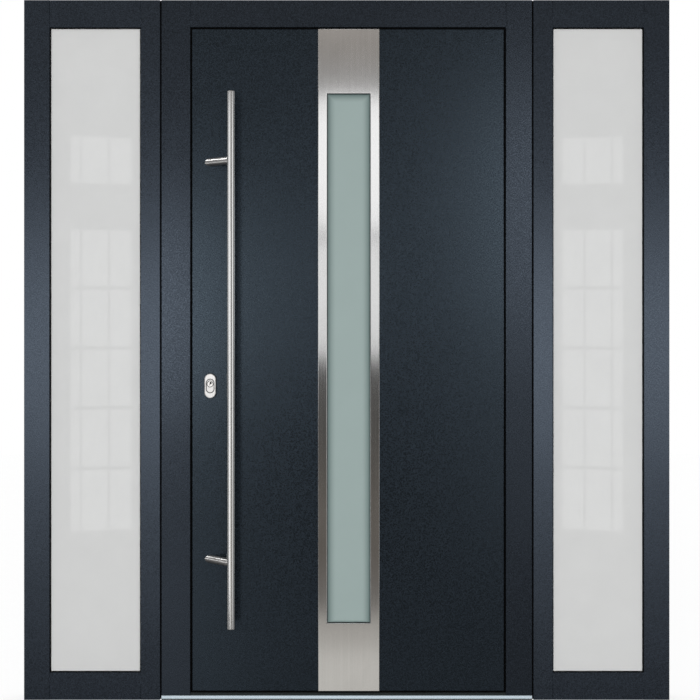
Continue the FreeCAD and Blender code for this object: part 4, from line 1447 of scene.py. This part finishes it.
    def lever_ring(self, x: float, y: float, turn: float, radius: float) -> list[Point]:
        """Round section of the lever where it has turned by an angle from the inside direction."""
        points = []
        for index in range(self.lever_corners):
            angle = 2 * math.pi * index / self.lever_corners
            off, rise = radius * math.cos(angle), radius * math.sin(angle)
            points.append((x + off * math.cos(turn), y - off * math.sin(turn), self.lever_z + rise))
        return points


# Web between a hinge's barrel and its plate: distance from the hinge axis and from the leaf's inner face.
HINGE_WEB: Outline = [(6.0, 0.2), (26.0, 0.2), (26.0, 5.6), (19.0, 7.2), (13.0, 11.5), (7.5, 21.5), (1.0, 15.0)]


@dataclass
class Hinges:
    """Three surface hinges on the inside, each with a plate on the frame and one on the leaf."""

    x: float = 491.75
    y: float = 52.5
    centres: tuple[float, ...] = (277.0, 1457.0, 1817.0)
    length: float = 100.0
    middle_knuckle: float = 50.0
    knuckle_gap: float = 0.5
    barrel_radius: float = 10.0
    pin_radius: float = 5.0
    plate: tuple[float, float] = (46.0, 6.0)
    plate_inset: float = 6.0
    plate_edge: float = 0.7
    bore_play: float = 0.3
    barrel_chamfer: float = 1.0
    web_inset: float = 0.6
    pin_inset: float = 2.0
    screw_heights: tuple[float, ...] = (-38.0, 0.0, 38.0)
    screw_from_edge: float = 13.0
    screw_sunk: float = 0.7

    def build(self) -> None:
        """Makes both halves of the hinges, and then their screws."""
        halves = (("frame", 1, 7), ("leaf", -1, 11))
        for body, toward, _ in halves:
            skin = Skin()
            for centre in self.centres:
                self.half(skin, centre, toward)
            Piece(f"hinge_{body}_halves", body, "frame_paint", HINGE_PAINT, (f"hinge_{body}_parts",),
                  edge=self.plate_edge).finish_skin(skin)
        for body, toward, seed in halves:
            Screws(f"hinge_{body}_screws", body, "lock_steel", EDGE_STEEL,
                   seed=seed).build(self.screw_places(toward))

    def knuckles(self, centre: float, toward: int) -> list[tuple[float, float]]:
        """Lower and upper end of each knuckle of one half."""
        half, middle, gap = self.length / 2, self.middle_knuckle / 2, self.knuckle_gap
        if toward < 0:
            return [(centre - middle, centre + middle)]
        return [(centre - half, centre - middle - gap), (centre + middle + gap, centre + half)]

    def half(self, skin: Skin, centre: float, toward: int) -> None:
        """One half of a hinge; toward is 1 on the frame and -1 on the leaf."""
        run, top = self.plate
        start = self.x + toward * self.plate_inset
        x0, x1 = sorted((start, start + toward * run))
        half = self.length / 2
        skin.block(x0, x1, BACK, BACK + top, centre - half, centre + half)
        bore, round_off = self.pin_radius + self.bore_play, self.barrel_chamfer
        inner = bore if toward < 0 else 0.0
        for low, high in self.knuckles(centre, toward):
            tall, wide = high - low, self.barrel_radius
            skin.lathe([(inner, 0.0), (wide - round_off, 0.0), (wide, round_off), (wide, tall - round_off),
                        (wide - round_off, tall), (inner, tall)], (self.x, self.y, low), UP, 64, toward < 0)
            skin.prism([(self.x + toward * u, BACK + v) for u, v in HINGE_WEB], low + self.web_inset,
                       high - self.web_inset)
        if toward > 0:
            pin = self.length - 2 * self.pin_inset
            skin.lathe([(0.0, 0.0), (self.pin_radius, 0.0), (self.pin_radius, pin), (0.0, pin)],
                       (self.x, self.y, centre - half + self.pin_inset), UP, 48)

    def screw_places(self, toward: int) -> list[ScrewPlace]:
        """Screws in the plates of one side."""
        run, top = self.plate
        x = self.x + toward * (self.plate_inset + run - self.screw_from_edge)
        return [ScrewPlace((x, BACK + top - self.screw_sunk, centre + height), DEEP)
                for centre in self.centres for height in self.screw_heights]


@dataclass
class LockEdge:
    """Faceplate and bolts in the leaf's edge, and the strike plates in the jamb.

    Bolts are given by their height and length, and strike plates by their lower and upper end.
    """

    bolt_width: float = 14.0
    bolts: tuple[tuple[float, float], ...] = ((247.0, 60.0), (888.75, 40.0), (1018.75, 34.0), (1857.0, 60.0))
    bolt_play: float = 0.4
    strikes: tuple[tuple[float, float], ...] = ((177.0, 317.0), (828.75, 1075.75), (1787.0, 1927.0))
    slot_play: tuple[float, float] = (1.5, 4.0)
    overcut: float = 3.0
    face_screws: tuple[float, ...] = (420.0, 640.0, 800.0, 1100.0, 1320.0, 1540.0)
    face_screw_inset: float = 12.0
    bolt_to_screw: float = 8.0
    strike_screw_inset: float = 14.0
    strike_screw_sunk: float = 0.7

    def build(self) -> None:
        """Makes the plates, the bolts and the screws."""
        self.build_faceplate()
        self.build_strikes()

    def build_faceplate(self) -> None:
        """Faceplate with rounded corners, its openings, and the bolts behind them."""
        x0, x1, y0, y1, z0, z1 = node_box("lock_faceplate")
        middle, half, play = (y0 + y1) / 2, self.bolt_width / 2, self.bolt_play
        plate, openings, heads = Skin(), Skin(), Skin()
        plate.block(x0, x1, y0, y1, z0, z1)
        for height, length in self.bolts:
            reach = length / 2
            openings.block(x0 - self.overcut, x1 + self.overcut, middle - half - play, middle + half + play,
                           height - reach - play, height + reach + play)
            heads.block(x0 + 0.5, x1 - 0.1, middle - half, middle + half, height - reach, height + reach)
        Piece("leaf_edge_faceplate", "leaf", "lock_steel", EDGE_STEEL, ("lock_faceplate",),
              edge=0.35).finish_skin(plate, openings)
        Piece("drawn_back_bolts", "leaf", "lock_steel", BOLT_STEEL, ("lock_bolts",), edge=0.6).finish_skin(heads)
        heights = (z0 + self.face_screw_inset, *self.face_screws, z1 - self.face_screw_inset)
        places = [ScrewPlace((x0 + 0.5, middle, height), (-1.0, 0.0, 0.0)) for height in heights
                  if all(abs(height - at) > length / 2 + self.bolt_to_screw for at, length in self.bolts)]
        Screws("faceplate_screws", "leaf", "lock_steel", BOLT_STEEL, head_height=1.0, socket_depth=0.8,
               seed=3).build(places)

    def build_strikes(self) -> None:
        """Strike plates with a slot opposite each bolt."""
        x0, x1, y0, y1, _, _ = node_box("strike_plates")
        wider, longer = self.slot_play
        middle, half = (y0 + y1) / 2, self.bolt_width / 2 + wider
        plates, slots, places = Skin(), Skin(), []
        for low, high in self.strikes:
            plates.block(x0, x1, y0, y1, low, high)
            places += [ScrewPlace((x1 - self.strike_screw_sunk, middle, height), (1.0, 0.0, 0.0))
                       for height in (low + self.strike_screw_inset, high - self.strike_screw_inset)]
        for height, length in self.bolts:
            reach = length / 2 + longer
            slots.block(x0 - self.overcut, x1 + self.overcut, middle - half, middle + half,
                        height - reach, height + reach)
        Piece("slotted_strike_plates", "frame", "lock_steel", EDGE_STEEL, ("strike_plates",),
              edge=0.3).finish_skin(plates, slots)
        Screws("strike_screws", "frame", "lock_steel", BOLT_STEEL, head_height=1.2, seed=5).build(places)


# Openings of the sidelights, and how far each gasket shows at the left, right, foot and top.
SIDELIGHTS: dict[str, tuple[Rect, Rect]] = {
    "left": ((-891.75, -618.25, 82.5, 2017.5), (3.0, 2.7, 2.0, 2.9)),
    "right": ((618.25, 891.75, 82.5, 2017.5), (2.7, 3.0, 2.0, 2.9)),
}
DOOR_FRAME = ("lock_jamb", "hinge_jamb", "door_head")
SIDE_FRAMES = tuple(f"{side}_{part}" for side in SIDELIGHTS
                    for part in ("outer_stile", "inner_stile", "top_rail", "bottom_rail", "beads"))
PLAIN_FINISHES: dict[Finish, tuple[str, ...]] = {
    DARK_PLASTIC: ("threshold_base", "couplings"),
    SILL_ALUMINIUM: ("threshold",),
    STOP_ALUMINIUM: ("threshold_stop",),
    FRAME_PAINT: (*DOOR_FRAME, "hinge_frame_parts", "hinge_leaf_parts"),
    RUBBER: ("frame_seal", "window_gaskets", "left_gaskets", "right_gaskets"),
    EDGE_STEEL: ("strike_plates", "lock_faceplate", "lock_bolts"),
    LEAF_PAINT: ("leaf_lock_stile", "leaf_hinge_stile", "leaf_top_rail", "leaf_bottom_rail", "leaf_outer_sheet",
                 "leaf_inner_sheet"),
    FOAM: ("leaf_core",),
    STRIP_STEEL: ("stainless_strip", "window_trim"),
    WINDOW_GLASS: ("window_glass",),
    BAR_STEEL: ("pull_bar",),
    POST_STEEL: ("bar_supports",),
    LOCK_STEEL: ("lock_rosette", "lock_guard", "inner_cylinder_rose", "inner_lever"),
    LOCK_BRASS: ("lock_cylinder",),
    SIDE_PAINT: SIDE_FRAMES,
    SIDE_GLASS: ("left_glass", "right_glass"),
}


def main() -> None:
    """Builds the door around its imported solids."""
    logging.basicConfig(level=logging.INFO, format="%(message)s")
    Studio().build()
    for finish, nodes in PLAIN_FINISHES.items():
        for node in nodes:
            dress(node, finish)
    for node in DOOR_FRAME:
        SoftenedSolid(node, "frame", "frame_paint", FRAME_PAINT).build()
    for node in SIDE_FRAMES:
        SoftenedSolid(node, "frame", "frame_paint", SIDE_PAINT, 0.9).build()
    LeafSheet(WINDOW).build()
    StainlessStrip(WINDOW).build()
    GlassUnit("window_glass", "leaf", "leaf_window_glass", WINDOW_GLASS).build()
    Gasket("window_gaskets", "leaf", WINDOW, 12.0, (1.5, 1.5, 1.5, 1.5), -34.5, -34.5, -30.5, 13.5, 16.5).build()
    for side, (opening, shows) in SIDELIGHTS.items():
        GlassUnit(side + "_glass", "frame", "sidelight_window_glass", SIDE_GLASS, (4.0, 4.0, 4.0)).build()
        Gasket(side + "_gaskets", "frame", opening, 8.0, shows, -32.5, -29.5, -25.5, 10.5, 14.5).build()
    BulbSeal().build()
    PullBar().build()
    LockSet().build()
    Hinges().build()
    LockEdge().build()


if __name__ == "__main__":
    main()
